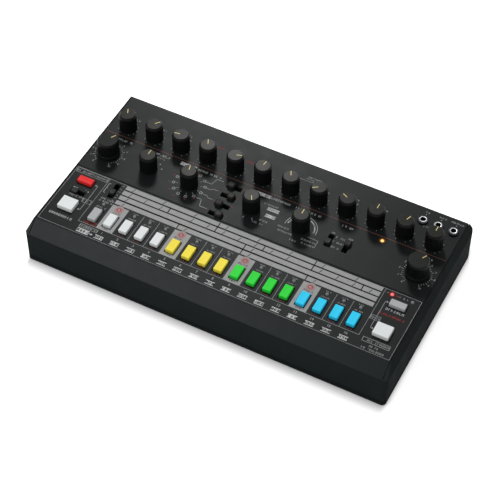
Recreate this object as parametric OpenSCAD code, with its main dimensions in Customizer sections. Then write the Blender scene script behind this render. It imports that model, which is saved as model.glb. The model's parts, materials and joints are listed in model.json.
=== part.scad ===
// Desktop drum machine: a flat plastic case with a control deck, step buttons and rear sockets.
// X runs to the right, Y to the back, Z up. The origin is under the middle of the machine.

/* [Case] */
// Width of the case
case_w = 305; // [300:1:380]
// Depth of the case
case_d = 163; // [158:1:200]
// Height of the case without its feet
case_h = 38; // [36:0.5:48]
// Gap that the feet leave under the case
foot_gap = 1.3; // [0.8:0.1:4]
// Thickness of the case's walls and deck
wall = 2.5; // [2:0.1:3]
// Radius of the upright corners
corner_r = 3.5; // [3:0.5:8]
// Radius along the deck's edges
edge_r = 0.9; // [0.4:0.1:1.5]
// How far the side and back bevels lean in
bevel_run = 2.9; // [1:0.1:5]
// How far the bevels and the front strip drop below the deck
bevel_drop = 9; // [6:0.5:12]
// How far the sloped front strip runs forward
strip_run = 11.5; // [8:0.5:16]
// Height of the bottom half of the case
tray_h = 5; // [5:0.5:8]
// Thickness of the tray's floor
floor_t = 2.5; // [2:0.1:3.2]
// Width of the groove across the deck
groove_w = 1.3; // [0.6:0.1:2]
// Width of the line along each side of the deck
line_w = 0.6; // [0.4:0.1:0.8]
// Depth of that line
line_deep = 0.7; // [0.4:0.1:1]
// Distance from the deck's side edge to the middle of that line
line_in = 1; // [0.8:0.1:1.5]

/* [Deck layout] */
// Distance from the deck's back edge to the panel jacks
jack_row = 13.9; // [12:0.1:16]
// Distance from the deck's back edge to the row of twelve knobs
knob_row = 32.9; // [30:0.1:36]
// Distance from one row knob to the next
knob_pitch = 24.2; // [23.5:0.1:26]
// Distance from the deck's back edge to the lights of the upper panel
light_row = 46.6; // [45:0.1:48]
// Distance from the deck's back edge to the second row of knobs
second_row = 64.2; // [62:0.1:66]
// Distance from the deck's back edge to the groove between the panels
groove_at = 86.2; // [85.5:0.1:87]
// Distance from the deck's back edge to the wide buttons
wide_row = 99.1; // [98:0.1:101]
// Distance from the deck's back edge to the lights of the steps
step_light_row = 112.8; // [112:0.1:114]
// Distance from the deck's back edge to the step buttons
step_row = 126.1; // [125:0.1:128]
// Distance from one step button to the next
step_pitch = 13.65; // [13:0.05:14]
// Place of the middle of the step row, right of the case's middle
step_mid = 7; // [5:0.5:9]
// Number of row knobs
row_knobs = 12; // [12]
// Number of step buttons
steps = 16; // [16]

/* [Knobs] */
// Gap between the deck and a knob
knob_gap = 0.7; // [0.4:0.1:1.5]
// Diameter of a small knob
small_d = 14.1; // [12:0.1:15]
// Height of a small knob's top above the deck
small_top = 16.4; // [13:0.1:20]
// Diameter of a large knob's grip
large_d = 17; // [15:0.1:18]
// Diameter of a large knob's skirt
skirt_d = 18.4; // [17.8:0.1:19.5]
// Height of a large knob's top above the deck
large_top = 16.2; // [14:0.1:21]
// Diameter of a knob's shaft
shaft_d = 6; // [5:0.1:6.4]
// Number of flutes round a small knob
small_flutes = 24; // [18:1:30]
// Number of flutes round a large knob
large_flutes = 30; // [20:1:36]

/* [Buttons] */
// Short side of a step button
step_w = 6.7; // [5.5:0.1:7.5]
// Long side of a step button
step_l = 12.2; // [10:0.1:13]
// Height of a step button above the deck
step_proud = 2.5; // [1.8:0.1:4]
// Long side of a wide button
wide_l = 12.7; // [11:0.1:14]
// Short side of a wide button
wide_w = 5.8; // [5:0.1:7]
// Width of a square button
square_w = 12.9; // [11:0.1:14]
// Depth of a square button
square_l = 11.4; // [10:0.1:13]
// Height of a square button above the deck
square_proud = 2.9; // [1.8:0.1:4]
// Radius of a key's upright corners
key_corner = 0.45; // [0.3:0.05:1]
// Radius along the edge of a key's top
key_edge = 0.3; // [0.2:0.05:0.8]
// Travel of every button
button_travel = 1; // [0.5:0.1:1.4]

/* [Slide switches] */
// Length of a slide switch's slot
slot_l = 12.6; // [12:0.1:14]
// Width of a slide switch's slot
slot_w = 4.4; // [4:0.1:5]
// Travel of a slide switch
slide_travel = 5; // [3:0.5:5.5]
// Length of a voice cap along its travel
cap_l = 6.4; // [5:0.1:7]
// Width of a voice cap across its travel
cap_w = 6; // [5:0.1:7]
// Height of a voice cap above the deck
cap_h = 3.4; // [2.5:0.1:5]
// Radius of a voice cap's upright corners
cap_corner = 2.2; // [1:0.1:2.4]
// Length of a small cap along its travel
tab_l = 5.4; // [5:0.1:6]
// Width of a small cap across its travel
tab_w = 4.8; // [4.8:0.1:5.6]
// Height of a small cap above the deck
tab_h = 2.5; // [1.8:0.1:4]
// Radius of a small cap's upright corners
tab_corner = 1; // [0.5:0.1:2]
// Distance from one voice switch to the next
voice_pitch = 10.4; // [10:0.1:11]

/* [Sockets] */
// Bore of a panel jack
jack_bore_d = 3.6; // [3.55:0.05:3.7]
// Outer diameter of a panel jack's bush
jack_bush_d = 6; // [5.8:0.1:6.6]
// Distance from one panel jack to the next
jack_pitch = 12.6; // [12:0.1:13]
// Bore of the output socket
output_bore_d = 6.45; // [6.4:0.05:6.6]
// Diameter of the round face of a five-pin socket
din_d = 15; // [14.5:0.1:15.5]

/* [Fits] */
// Radial clearance of a shaft in its bushing
shaft_clear = 0.05; // [0.03:0.01:0.09]
// Gap round a bushing in the deck
deck_clear = 0.3; // [0.2:0.05:0.5]
// Gap round a button in the deck
key_clear = 0.45; // [0.3:0.05:0.6]
// Gap between a sliding part and its guide
slide_clear = 0.2; // [0.1:0.05:0.3]
// Gap between a button's flange and the deck
flange_gap = 0.2; // [0.1:0.05:0.3]
// Gap of the joint line between the case's halves
seam_gap = 0.25; // [0.1:0.05:0.4]

/* [Hidden] */
$fn = 48;

// Heights
floor_z = foot_gap;
seam_z = floor_z + tray_h;
deck_z = floor_z + case_h;
roof_z = deck_z - wall;
board_t = 1.6;
board_z = deck_z - 11.9;
main_z = floor_z + floor_t + 3;

// Plan: the output socket's nut stands behind the case, and the origin is midway in the whole depth
rear_reach = 2;
front_y = -(case_d + rear_reach) / 2;
back_y = front_y + case_d;
case_cy = (front_y + back_y) / 2;
deck_back = back_y - bevel_run;
side_x = case_w / 2 - bevel_run;

function at(row) = deck_back - row;
function row_x(i) = (i - (row_knobs - 1) / 2) * knob_pitch;
function step_x(i) = step_mid + (i - (steps - 1) / 2) * step_pitch;
end_x = row_x(row_knobs - 1);

// Turned parts: [x, y, clock angle of the pointer at rest, large]
pointer = [-25, 40, -100, -25, 70, 5, -25, -125, -65, 0, 20, 0];
row_spots = [for (i = [0 : row_knobs - 1]) [row_x(i), at(knob_row), pointer[i], false]];
decay_spot = [-4 * knob_pitch, at(second_row), 0, false];
voice_spot = [-2.5 * knob_pitch, at(second_row), -15, false];
mode_spot = [-0.25 * knob_pitch, at(second_row), 150, false];
variation_spot = [1.5 * knob_pitch, at(second_row), 0, false];
tempo_spot = [-end_x, at(second_row), 30, true];
volume_spot = [end_x, at(second_row), 30, true];
turned = concat(row_spots, [decay_spot, voice_spot, mode_spot, variation_spot, tempo_spot, volume_spot]);

// Buttons: [x, y, size in x, size in y, height above the deck]
step_buttons = [for (i = [0 : steps - 1]) [step_x(i), at(step_row), step_w, step_l, step_proud]];
accent_spot = [step_x(-1), at(step_row), step_w, step_l, step_proud];
clear_spot = [-end_x, at(wide_row), wide_l, wide_w, step_proud];
fill_spot = [end_x, at(wide_row), wide_l, wide_w, step_proud];
start_spot = [-end_x, at(step_row), square_w, square_l, square_proud];
write_spot = [end_x, at(step_row), square_w, square_l, square_proud];
pressed = concat(step_buttons, [accent_spot, clear_spot, fill_spot, start_spot, write_spot]);

// Slide switches: [x, y of the slot's middle, slot's length, cap's offset at rest, angle, cap's length,
// cap's width, cap's height, radius of its corners]
voice_x = -27.7;
voice_row = 50.8;
voice_side = [-1, 1, -1, 1];
voice_slides = [for (i = [0 : 3])
    [voice_x, at(voice_row + i * voice_pitch), slot_l, voice_side[i] * slide_travel / 2, 0,
        cap_l, cap_w, cap_h, cap_corner]];
fade_row = 64.8;
fade_in = [60.8, at(fade_row), slot_l, -slide_travel / 2, 90, tab_l, tab_w, tab_h, tab_corner];
fade_out = [75.4, at(fade_row), slot_l, slide_travel / 2, 90, tab_l, tab_w, tab_h, tab_corner];
clock_slide = [-133.4, at(111.3), slot_l, -slide_travel / 2, 0, tab_l, slot_w + 0.4, 1.6, 0.7];
play_slide = [step_x(-1), at(97.2), 15.6, -slide_travel / 2, 90, tab_l, tab_w, tab_h, tab_corner];
slides = concat(voice_slides, [fade_in, fade_out, clock_slide, play_slide]);

// Lights
light_d = 3;
light_spots = concat(
    [for (i = [-1 : steps - 1]) [step_x(i), at(step_light_row)]],
    [[end_x - 8.3, at(90.8)], [end_x + 8.1, at(90.8)]],
    [[-122.6, at(light_row)], [4 * knob_pitch, at(light_row)]]
);

// Panel jacks
jack_mid = 128.7;
jack_spots = [for (i = [-1 : 1]) [jack_mid + i * jack_pitch, at(jack_row)]];
jack_stand = 2.2;

// Screws and the posts that take them
boss_r = 3.6;
pilot_r = 1.25;
boss_x = case_w / 2 - 9;
bosses = [[-boss_x, at(138)], [0, at(141)], [boss_x, at(138)], [-boss_x, at(8)], [0, at(7)], [boss_x, at(27)]];
boss_seat = floor_z + 7;
post_r = 3;
posts = concat(
    [for (x = [-5, 0, 5]) [x * knob_pitch, at(knob_row)]],
    [for (x = [-85, 0, 85]) [x, at(wide_row)]],
    [for (x = [-1, 1]) [x * 120.3, at(step_row)]]
);

// Main board and what stands on it
main_lo = [11, at(75)];
main_hi = [boss_x - boss_r - 2, back_y - wall - 0.6];
main_posts = [for (x = [main_lo[0] + 5, main_hi[0] - 5], y = [main_lo[1] + 5, main_hi[1] - 34]) [x, y]];
output_x = 25;
din_x = [46.5, 68.5];
usb_x = 88.5;
inlet_x = 106;
rocker_x = 127;
rocker_w = 13;
rocker_h = 8;
rocker_tilt = 8;
rocker_z = main_z + board_t + 8.5;
pivot_y = back_y - 2.6;
face_y = back_y - wall - 0.2;
ribbon_x = 60;
ribbon_w = 24;

foot_r = 6;
foot_sunk = 0.8;
foot_spots = [for (x = [-1, 1], y = [front_y + 18, back_y - 18]) [x * (case_w / 2 - 22), y]];

function two(i) = i < 10 ? str("0", i) : str(i);
row_names = [for (i = [1 : row_knobs]) str("row_knob_", two(i))];
step_names = [for (i = [1 : steps]) str("step_button_", two(i))];
voice_names = [for (i = [1 : 4]) str("voice_switch_", i)];

// ---------- outlines and small shapes ----------

function unit(v) = v / norm(v);

// Points of the arc that rounds the corner b between a and c
function arc_corner(a, b, c, r, n = 3) =
    let (u = unit(a - b), v = unit(c - b), half = acos(u * v) / 2)
    let (p = b + u * r / tan(half), q = b + v * r / tan(half), mid = b + unit(u + v) * r / sin(half))
    [for (i = [0 : n]) mid + unit(p + (q - p) * i / n - mid) * r];

// Height of the bevel's lower edge and inward reach of its upper edge, for a skin at depth d
function slope(run) = norm([run, bevel_drop]);
function knee(run, d) = deck_z - bevel_drop - d * (slope(run) - bevel_drop) / run;
function shoulder(run, d) = ((bevel_drop - d) * run + d * slope(run)) / bevel_drop;

// Upright section of the case between lo and hi, at depth d below its skin
function section(lo, hi, run_lo, run_hi, d, z) =
    let (
        a = [lo + d, z],
        b = [lo + d, knee(run_lo, d)],
        c = [lo + shoulder(run_lo, d), deck_z - d],
        e = [hi - shoulder(run_hi, d), deck_z - d],
        f = [hi - d, knee(run_hi, d)],
        g = [hi - d, z]
    )
    d > 0 ? [a, b, c, e, f, g]
    : concat([a], arc_corner(a, b, c, edge_r), arc_corner(b, c, e, edge_r),
        arc_corner(c, e, f, edge_r), arc_corner(e, f, g, edge_r), [g]);

module round_rect(w, l, r) {
    square([w - 2 * r, l], center = true);
    square([w, l - 2 * r], center = true);
    for (x = [-1, 1], y = [-1, 1]) translate([x * (w / 2 - r), y * (l / 2 - r)]) circle(r);
}

// A block with round upright corners, standing on z = 0
module slab(w, l, h, r) {
    linear_extrude(h) round_rect(w, l, r);
}

// A key cap: round upright corners of radius r and a top edge of radius e
module key_block(w, l, h, r, e) {
    intersection() {
        slab(w, l, h, r);
        rotate([90, 0, 0]) linear_extrude(l + 1, center = true) round_rect(w, 2 * h, e);
        rotate([90, 0, 90]) linear_extrude(w + 1, center = true) round_rect(l, 2 * h, e);
    }
}

module ring(outer, inner, h) {
    difference() {
        cylinder(r = outer, h = h);
        translate([0, 0, -1]) cylinder(r = inner, h = h + 2);
    }
}

// ---------- case ----------

// The case's outer form, or the room inside it at depth d, from height z up
module case_form(d, z) {
    intersection() {
        translate([0, case_cy, z]) slab(case_w - 2 * d, case_d - 2 * d, deck_z - z, max(corner_r - d, 0.6));
        rotate([90, 0, 90]) linear_extrude(case_w, center = true)
            polygon(section(front_y, back_y, strip_run, bevel_run, d, z - 1));
        rotate([90, 0, 0]) linear_extrude(2 * case_d, center = true)
            polygon(section(-case_w / 2, case_w / 2, bevel_run, bevel_run, d, z - 1));
    }
}

module deck_holes() {
    for (t = turned) translate([t[0], t[1], roof_z - 1]) cylinder(r = bushing_r + deck_clear, h = wall + 2);
    for (b = pressed)
        translate([b[0], b[1], roof_z - 1]) slab(b[2] + 2 * key_clear, b[3] + 2 * key_clear, wall + 2, 0.9);
    for (s = slides) translate([s[0], s[1], roof_z - 1]) rotate(s[4]) slab(s[2], slot_w, wall + 2, 0.5);
    for (l = light_spots) translate([l[0], l[1], roof_z - 1]) cylinder(d = light_d + 0.4, h = wall + 2);
    for (j = jack_spots) translate([j[0], j[1], roof_z - 1]) cylinder(d = jack_bush_d + 0.4, h = wall + 2);
}

module rear_holes() {
    deep = wall + 2;
    translate([output_x, back_y - wall - 1, rocker_z]) rotate([-90, 0, 0])
        cylinder(r = output_thread_r + 0.2, h = deep);
    for (x = din_x) translate([x, back_y - wall - 1, rocker_z]) rotate([-90, 0, 0]) cylinder(d = din_d + 0.5, h = deep);
    translate([usb_x, back_y, usb_z]) cube([usb_w + 0.6, 2 * deep, usb_h + 0.6], center = true);
    translate([inlet_x, back_y, inlet_z]) cube([inlet_w + 0.6, 2 * deep, inlet_h + 0.6], center = true);
    translate([rocker_x, back_y, rocker_z]) cube([rocker_w + 2.4, 2 * deep, rocker_h + 2.4], center = true);
}

module groove() {
    side = groove_w / sqrt(2);
    translate([0, at(groove_at), deck_z]) rotate([45, 0, 0])
        cube([2 * (side_x - line_in), side, side], center = true);
}

// The thin line that runs down the front strip, along the deck and down the back bevel, near each side
module side_lines() {
    low = knee(strip_run, 0) + 0.8;
    difference() {
        for (s = [-1, 1]) translate([s * (side_x - line_in), case_cy, (low + deck_z + 1) / 2])
            cube([line_w, case_d + 2, deck_z + 1 - low], center = true);
        case_form(line_deep, seam_z - 1);
    }
}

module top_case() {
    color("#202324") difference() {
        union() {
            difference() {
                case_form(0, seam_z);
                case_form(wall, seam_z - 1);
            }
            for (b = bosses) translate([b[0], b[1], boss_seat]) cylinder(r = boss_r, h = roof_z + 0.5 - boss_seat);
            for (p = posts) translate([p[0], p[1], board_z]) cylinder(r = post_r, h = roof_z + 0.5 - board_z);
            for (x = [-110, -60, 60, 110]) translate([x, at(81), roof_z - 1]) cube([40, 1.4, 5], center = true);
        }
        deck_holes();
        rear_holes();
        groove();
        side_lines();
        for (b = bosses) translate([b[0], b[1], boss_seat - 1]) cylinder(r = pilot_r, h = 13);
        for (p = posts) translate([p[0], p[1], board_z - 1]) cylinder(r = pilot_r - 0.2, h = 8);
    }
}

module vent_slots() {
    for (x = [-1, 1], i = [-3 : 3])
        translate([x * 70 + i * 6, case_cy + 20, floor_z - 1]) slab(2, 26, floor_t + 2, 0.95);
}

module bottom_case() {
    lip = 1.2;
    lip_h = 2.5;
    inner_r = max(corner_r - wall, 0.6);
    cut_z = min(seam_z, main_z - 0.3);
    color("#1b1d1e") difference() {
        union() {
            difference() {
                translate([0, case_cy, floor_z]) slab(case_w, case_d, tray_h - seam_gap, corner_r);
                translate([0, case_cy, floor_z + floor_t])
                    slab(case_w - 2 * wall, case_d - 2 * wall, tray_h, inner_r);
            }
            translate([0, case_cy, floor_z + floor_t - 0.5]) difference() {
                slab(case_w - 2 * wall - 0.4, case_d - 2 * wall - 0.4, tray_h - floor_t + lip_h,
                    max(inner_r - 0.2, 0.6));
                translate([0, 0, -1])
                    slab(case_w - 2 * (wall + lip), case_d - 2 * (wall + lip), tray_h + lip_h,
                        max(inner_r - lip, 0.5));
            }
            for (b = bosses) translate([b[0], b[1], floor_z]) cylinder(r = boss_r + 1, h = boss_seat - floor_z);
            for (p = main_posts) translate([p[0], p[1], floor_z + 1]) cylinder(r = 3, h = main_z - floor_z - 1);
            for (x = [-115, -75, -35]) translate([x, case_cy, floor_z + floor_t]) cube([1.4, 120, 3], center = true);
        }
        // The lip stops short of the rear sockets
        translate([main_lo[0], back_y - wall - 4.1, cut_z]) cube([main_hi[0] - main_lo[0], 4, seam_z + 3 - cut_z]);
        for (b = bosses) {
            translate([b[0], b[1], floor_z - 1]) cylinder(r = 3.1, h = 1 + screw_sink);
            translate([b[0], b[1], floor_z - 1]) cylinder(r = 1.7, h = boss_seat);
        }
        for (p = main_posts) translate([p[0], p[1], main_z - 3.5]) cylinder(r = pilot_r - 0.2, h = 5);
        for (f = foot_spots) translate([f[0], f[1], floor_z - 1]) cylinder(r = foot_r + 0.1, h = 1 + foot_sunk);
        vent_slots();
    }
}

// ---------- boards ----------

bushing_r = shaft_d / 2 + 0.5;
pot_w = 9.6;
pot_l = 11;
pot_h = 6.4;
screw_sink = 4.2;

module chip(x, y, z, w, l, h) {
    translate([x, y, z]) {
        translate([0, 0, h / 2 + 0.2]) cube([w - 2, l, h - 0.2], center = true);
        for (s = [-1, 1]) translate([s * (w / 2 - 0.6), 0, h / 4]) cube([1.2, l - 1, h / 2], center = true);
    }
}

module control_board() {
    hi = at(4);
    lo = at(142);
    color("#1f5a3c") difference() {
        translate([0, (lo + hi) / 2, board_z - board_t]) slab(case_w - 12, hi - lo, board_t, 2);
        for (b = bosses) translate([b[0], b[1], board_z - 3]) cylinder(r = boss_r + 0.8, h = 5);
        for (b = bosses) if (abs(b[0]) > 1)
            translate([b[0] + sign(b[0]) * 5, b[1], board_z]) cube([10, 2 * boss_r + 1.6, 5], center = true);
        for (p = posts) translate([p[0], p[1], board_z - 3]) cylinder(r = 1.5, h = 5);
    }
    color("#2a2a2c") translate([0, 0, board_z - board_t]) mirror([0, 0, 1]) {
        for (x = [-110, -80, -50]) chip(x, at(56), 0, 8, 15, 1.8);
        for (x = [-20, 12]) chip(x, at(112), 0, 8, 13, 1.8);
        translate([ribbon_x, at(70), 2.2]) cube([ribbon_w + 2, 5, 4.4], center = true);
    }
}

module capacitor(x, y, z, d, h) {
    translate([x, y, z]) {
        cylinder(d = d, h = h);
        cylinder(d = d + 0.6, h = 1);
    }
}

module main_board() {
    mid = (main_lo + main_hi) / 2;
    size = main_hi - main_lo;
    top = main_z + board_t;
    color("#1f5a3c") difference() {
        translate([mid[0], mid[1], main_z]) slab(size[0], size[1], board_t, 1);
        for (p = main_posts) translate([p[0], p[1], main_z - 1]) cylinder(r = 1.5, h = 5);
    }
    color("#2a2a2c") {
        chip(40, main_lo[1] + 22, top, 10, 10, 2);
        chip(84, main_lo[1] + 16, top, 14, 14, 2);
        for (x = [104, 114]) chip(x, main_lo[1] + 34, top, 6, 5, 1.6);
        translate([ribbon_x, main_lo[1] + 6, top + 2.2]) cube([ribbon_w + 2, 5, 4.4], center = true);
    }
    color("#30435e") {
        for (x = [112, 122]) capacitor(x, main_lo[1] + 14, top, 8, 11);
        capacitor(100, main_lo[1] + 12, top, 6.3, 8);
        capacitor(30, main_lo[1] + 36, top, 5, 7);
    }
}

module ribbon_cable() {
    lower = main_z + board_t + 4.4;
    upper = board_z - board_t - 4.4;
    start = main_lo[1] + 6;
    end = at(70);
    reach = min(start, end) - 12;
    bend = (upper - lower) / 2;
    color("#8d9297") translate([ribbon_x, 0, 0]) rotate([90, 0, 90]) linear_extrude(ribbon_w, center = true) {
        translate([reach, lower]) square([start + 2 - reach, 0.6]);
        translate([reach, upper - 0.6]) square([end + 2 - reach, 0.6]);
        translate([reach, lower + bend]) intersection() {
            difference() {
                circle(bend);
                circle(bend - 0.6);
            }
            translate([-2 * bend, -bend]) square([2 * bend, 2 * bend]);
        }
    }
}

module potentiometers() {
    top = board_z + pot_h;
    for (t = turned) translate([t[0], t[1], 0]) {
        color("#6f7478") difference() {
            union() {
                translate([-pot_w / 2, -pot_l / 2, board_z]) cube([pot_w, pot_l, pot_h]);
                translate([0, 0, top - 0.5]) cylinder(r = bushing_r, h = deck_z - 0.4 - top + 0.5);
            }
            translate([0, 0, board_z + 1.8]) cylinder(r = shaft_d / 2 + shaft_clear, h = 20);
        }
    }
}

module switch_bodies() {
    for (b = pressed) translate([b[0], b[1], board_z]) {
        color("#3a3d40") translate([0, 0, 1.7]) cube([6, 6, 3.4], center = true);
        color("#d8d4c8") translate([0, 0, 3.4]) cylinder(r = 1.7, h = 0.9);
    }
    for (s = slides) translate([s[0], s[1], board_z]) rotate(s[4]) color("#9aa0a4") difference() {
        translate([-slot_l / 2, -2.8, 0]) cube([slot_l, 5.6, 6]);
        translate([0, 0, 5]) cube([slide_travel + foot_l + 2 * slide_clear, foot_w + 2 * slide_clear, 4], center = true);
    }
}

// ---------- knobs and buttons ----------

foot_l = 3.6;
foot_w = 2;

// Outline of a round body with n shallow flutes
module fluted(r, n) {
    difference() {
        circle(r);
        for (i = [0 : n - 1]) rotate(i * 360 / n) translate([r + 0.22, 0]) circle(0.5, $fn = 16);
    }
}

module knob_shell(r, top_r, h, skirt_r, n) {
    bevel = 2.2;
    difference() {
        union() {
            linear_extrude(h - bevel) fluted(r, n);
            rotate_extrude($fn = 64)
                polygon([[0, 0], [skirt_r, 0], [skirt_r, 1.6], [r - 0.4, skirt_r > r ? 3 : 1.6], [r - 0.4, h - bevel - 0.6],
                    [r, h - bevel], [r - 0.15, h - bevel + 0.7], [top_r + 0.1, h - 0.6], [top_r - 0.1, h - 0.15],
                    [top_r - 0.4, h], [0, h]]);
        }
        // Hollow round the hub
        translate([0, 0, -1]) ring(r - 1.5, 4.5, h - 4.5);
        // Pointer groove across the top's rim
        translate([-0.45, 0.35 * top_r, h - 0.3]) cube([0.9, r, 1]);
        // Bore with its flat
        difference() {
            translate([0, 0, -1]) cylinder(d = shaft_d + 0.06, h = h - 4);
            translate([shaft_d / 2 - 1.5, -4, h - 10]) cube([3, 8, 10]);
        }
    }
}

module knob_shaft(h) {
    low = board_z + 2;
    difference() {
        translate([0, 0, low]) cylinder(d = shaft_d, h = deck_z + h - 6 - low);
        translate([shaft_d / 2 - 1.53, -4, deck_z + h - 11]) cube([3, 8, 12]);
    }
}

// One knob on its shaft, with its pointer at the clock angle of its spot
module knob(spot) {
    high = spot[3] ? large_top : small_top;
    translate([spot[0], spot[1], 0]) rotate(-spot[2]) {
        color("#17191a") translate([0, 0, deck_z + knob_gap])
            if (spot[3]) knob_shell(large_d / 2, large_d / 2 - 0.7, high - knob_gap, skirt_d / 2, large_flutes);
            else knob_shell(small_d / 2, small_d / 2 - 1.15, high - knob_gap, small_d / 2 - 0.3, small_flutes);
        color("#b9bcc0") knob_shaft(high);
    }
}

module button(spot, paint) {
    flange_z = roof_z - flange_gap - 1.2;
    stem_low = board_z + 3.4 + 0.9 + button_travel + 0.2;
    color(paint) translate([spot[0], spot[1], 0]) {
        translate([0, 0, flange_z]) key_block(spot[2], spot[3], deck_z + spot[4] - flange_z, key_corner, key_edge);
        translate([0, 0, flange_z]) slab(spot[2] + 2, spot[3] + 1.6, 1.2, 0.6);
        translate([0, 0, stem_low]) cylinder(r = 1.9, h = flange_z - stem_low + 0.2);
    }
}

module step_button(i) {
    paint = ["#f4f4f2", "#f3e05f", "#48c454", "#47c8e9"];
    button(step_buttons[i], paint[floor(i / 4)]);
}

module slide_cap(s) {
    translate([s[0], s[1], 0]) rotate(s[4]) translate([s[3], 0, 0]) color("#2b2c2c") {
        translate([0, 0, deck_z + 0.3]) key_block(s[5], s[6], s[7] - 0.3, s[8], 0.6 * s[8]);
        translate([-1.8, -1, board_z + 3 + slide_clear]) cube([foot_l, foot_w, deck_z + 0.8 - board_z - 3]);
    }
}

// ---------- sockets ----------

module panel_jacks() {
    low = board_z + 0.4;
    for (j = jack_spots) translate([j[0], j[1], 0]) {
        color("#242628") difference() {
            translate([-4.5, -5.5, board_z]) cube([9, 11, roof_z - 0.5 - board_z]);
            translate([0, 0, low]) cylinder(d = jack_bore_d, h = 20);
        }
        color("#d9dcde") translate([0, 0, roof_z - 0.5]) ring(jack_bush_d / 2, jack_bore_d / 2, wall + 0.5 + jack_stand);
        color("#3c4043") translate([0, 0, deck_z]) ring(4.1, jack_bush_d / 2 + 0.05, jack_stand - 0.7);
    }
}

output_thread_r = 5.5;
usb_w = 12;
usb_h = 10.8;
usb_z = main_z + board_t + usb_h / 2;
inlet_w = 9;
inlet_h = 11;
inlet_z = main_z + board_t + inlet_h / 2;

// A five-pin round socket whose mouth points back: a body with a round bore, and the core that stands in it
module din_socket(x) {
    top = main_z + board_t;
    bore_r = din_d / 2 - 0.6;
    translate([x, 0, 0]) {
        color("#2a2c2e") difference() {
            union() {
                translate([-8.7, face_y - 12, top]) cube([17.4, 12, 16.6]);
                translate([0, face_y - 0.5, rocker_z]) rotate([-90, 0, 0]) cylinder(d = din_d, h = back_y - face_y + 0.5);
            }
            translate([0, back_y - 7, rocker_z]) rotate([-90, 0, 0]) cylinder(r = bore_r, h = 12);
        }
        color("#1d1e20") translate([0, back_y - 6.95, rocker_z]) rotate([-90, 0, 0]) difference() {
            cylinder(r = bore_r - 1.5, h = 6.95);
            for (a = [-90 : 45 : 90]) translate([3.4 * sin(a), 3.4 * cos(a), 1]) cylinder(r = 0.8, h = 12, $fn = 16);
        }
    }
}

module usb_socket() {
    low = face_y - 14;
    deep = back_y - 0.3 - low;
    color("#c9ccce") translate([usb_x, low + deep / 2, usb_z]) difference() {
        cube([usb_w, deep, usb_h], center = true);
        translate([0, deep / 2, 0]) rotate([90, 0, 0]) linear_extrude(18, center = true)
            polygon([[-4.2, -3.9], [4.2, -3.9], [4.2, 2.2], [2.6, 3.9], [-2.6, 3.9], [-4.2, 2.2]]);
    }
    color("#e8e8e4") translate([usb_x, back_y - 5.5, usb_z + 0.2]) cube([5.6, 8, 3.1], center = true);
}

module dc_inlet() {
    low = face_y - 12;
    deep = back_y - 0.3 - low;
    color("#232527") translate([inlet_x, low + deep / 2, inlet_z]) difference() {
        cube([inlet_w, deep, inlet_h], center = true);
        translate([0, deep / 2 - 9, 0]) rotate([-90, 0, 0]) cylinder(r = 3.15, h = 12);
    }
    color("#c9ccce") translate([inlet_x, back_y - 9.4, inlet_z]) rotate([-90, 0, 0]) cylinder(r = 1, h = 7.6);
}

module output_socket() {
    top = main_z + board_t;
    color("#2a2c2e") difference() {
        union() {
            translate([output_x - 8, face_y - 27, top]) cube([16, 27, 16.4]);
            translate([output_x, face_y - 1, rocker_z]) rotate([-90, 0, 0])
                cylinder(r = output_thread_r, h = back_y + rear_reach - face_y + 1);
        }
        translate([output_x, face_y - 25, rocker_z]) rotate([-90, 0, 0]) cylinder(d = output_bore_d, h = 40);
    }
    color("#d9dcde") translate([output_x, back_y, rocker_z]) rotate([-90, 0, 0])
        ring(7.4, output_thread_r + 0.05, rear_reach - 0.3);
}

module rocker_frame() {
    w = rocker_w + 2;
    h = rocker_h + 2;
    low = pivot_y - 7.5;
    color("#26282a") difference() {
        union() {
            translate([rocker_x, (low + back_y) / 2, rocker_z]) cube([w, back_y - low, h], center = true);
            translate([rocker_x, back_y + 0.5, rocker_z]) cube([w + 2.4, 1, h + 2.4], center = true);
        }
        translate([rocker_x, pivot_y, rocker_z]) cylinder(r = 6.2, h = rocker_h - 0.6, center = true);
        translate([rocker_x, pivot_y + 6, rocker_z]) cube([12.4, 12, rocker_h - 0.6], center = true);
    }
}

module rear_sockets() {
    for (x = din_x) din_socket(x);
    usb_socket();
    dc_inlet();
    output_socket();
    rocker_frame();
}

module power_rocker() {
    h = rocker_h - 1;
    color("#17191a") translate([rocker_x, pivot_y, rocker_z]) rotate(-rocker_tilt) intersection() {
        cylinder(r = 6, h = h, center = true);
        linear_extrude(h, center = true)
            polygon([[-6.2, -4], [6.2, -4], [6.2, 2.6], [0, 3.6], [-6.2, 2.6]]);
    }
}

// ---------- lights, feet and screws ----------

module lights() {
    rim = deck_z - 5.4;
    for (l = light_spots) translate([l[0], l[1], 0]) {
        color("#e9e6df") translate([0, 0, board_z]) cylinder(r = 1.9, h = rim - board_z);
        color("#d8524a") translate([0, 0, rim]) {
            cylinder(r = 1.9, h = 1);
            cylinder(d = light_d, h = 4.8);
            translate([0, 0, 4.8]) sphere(d = light_d);
        }
    }
}

module rubber_feet() {
    color("#303132") for (f = foot_spots) translate([f[0], f[1], 0]) rotate_extrude()
        polygon([[0, 0], [foot_r - 0.6, 0], [foot_r, 0.6], [foot_r, floor_z + foot_sunk], [0, floor_z + foot_sunk]]);
}

// A pan-head screw that points up from z, with a cross recess in its head
module screw(x, y, z, r, l) {
    translate([x, y, z]) difference() {
        union() {
            translate([0, 0, -1.7]) cylinder(r = 2 * r, h = 1.7);
            cylinder(r = r, h = l);
        }
        for (a = [0, 90]) rotate(a) translate([0, 0, -1.7]) cube([2.4 * r, 0.5, 1.6], center = true);
    }
}

module screws() {
    color("#8f9498") {
        for (b = bosses) screw(b[0], b[1], floor_z + screw_sink, 1.2, 12);
        for (p = posts) screw(p[0], p[1], board_z - board_t, 1, 7);
        for (p = main_posts) translate([0, 0, 2 * (main_z + board_t)]) mirror([0, 0, 1])
            screw(p[0], p[1], main_z + board_t, 1, 4.5);
    }
}

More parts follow.
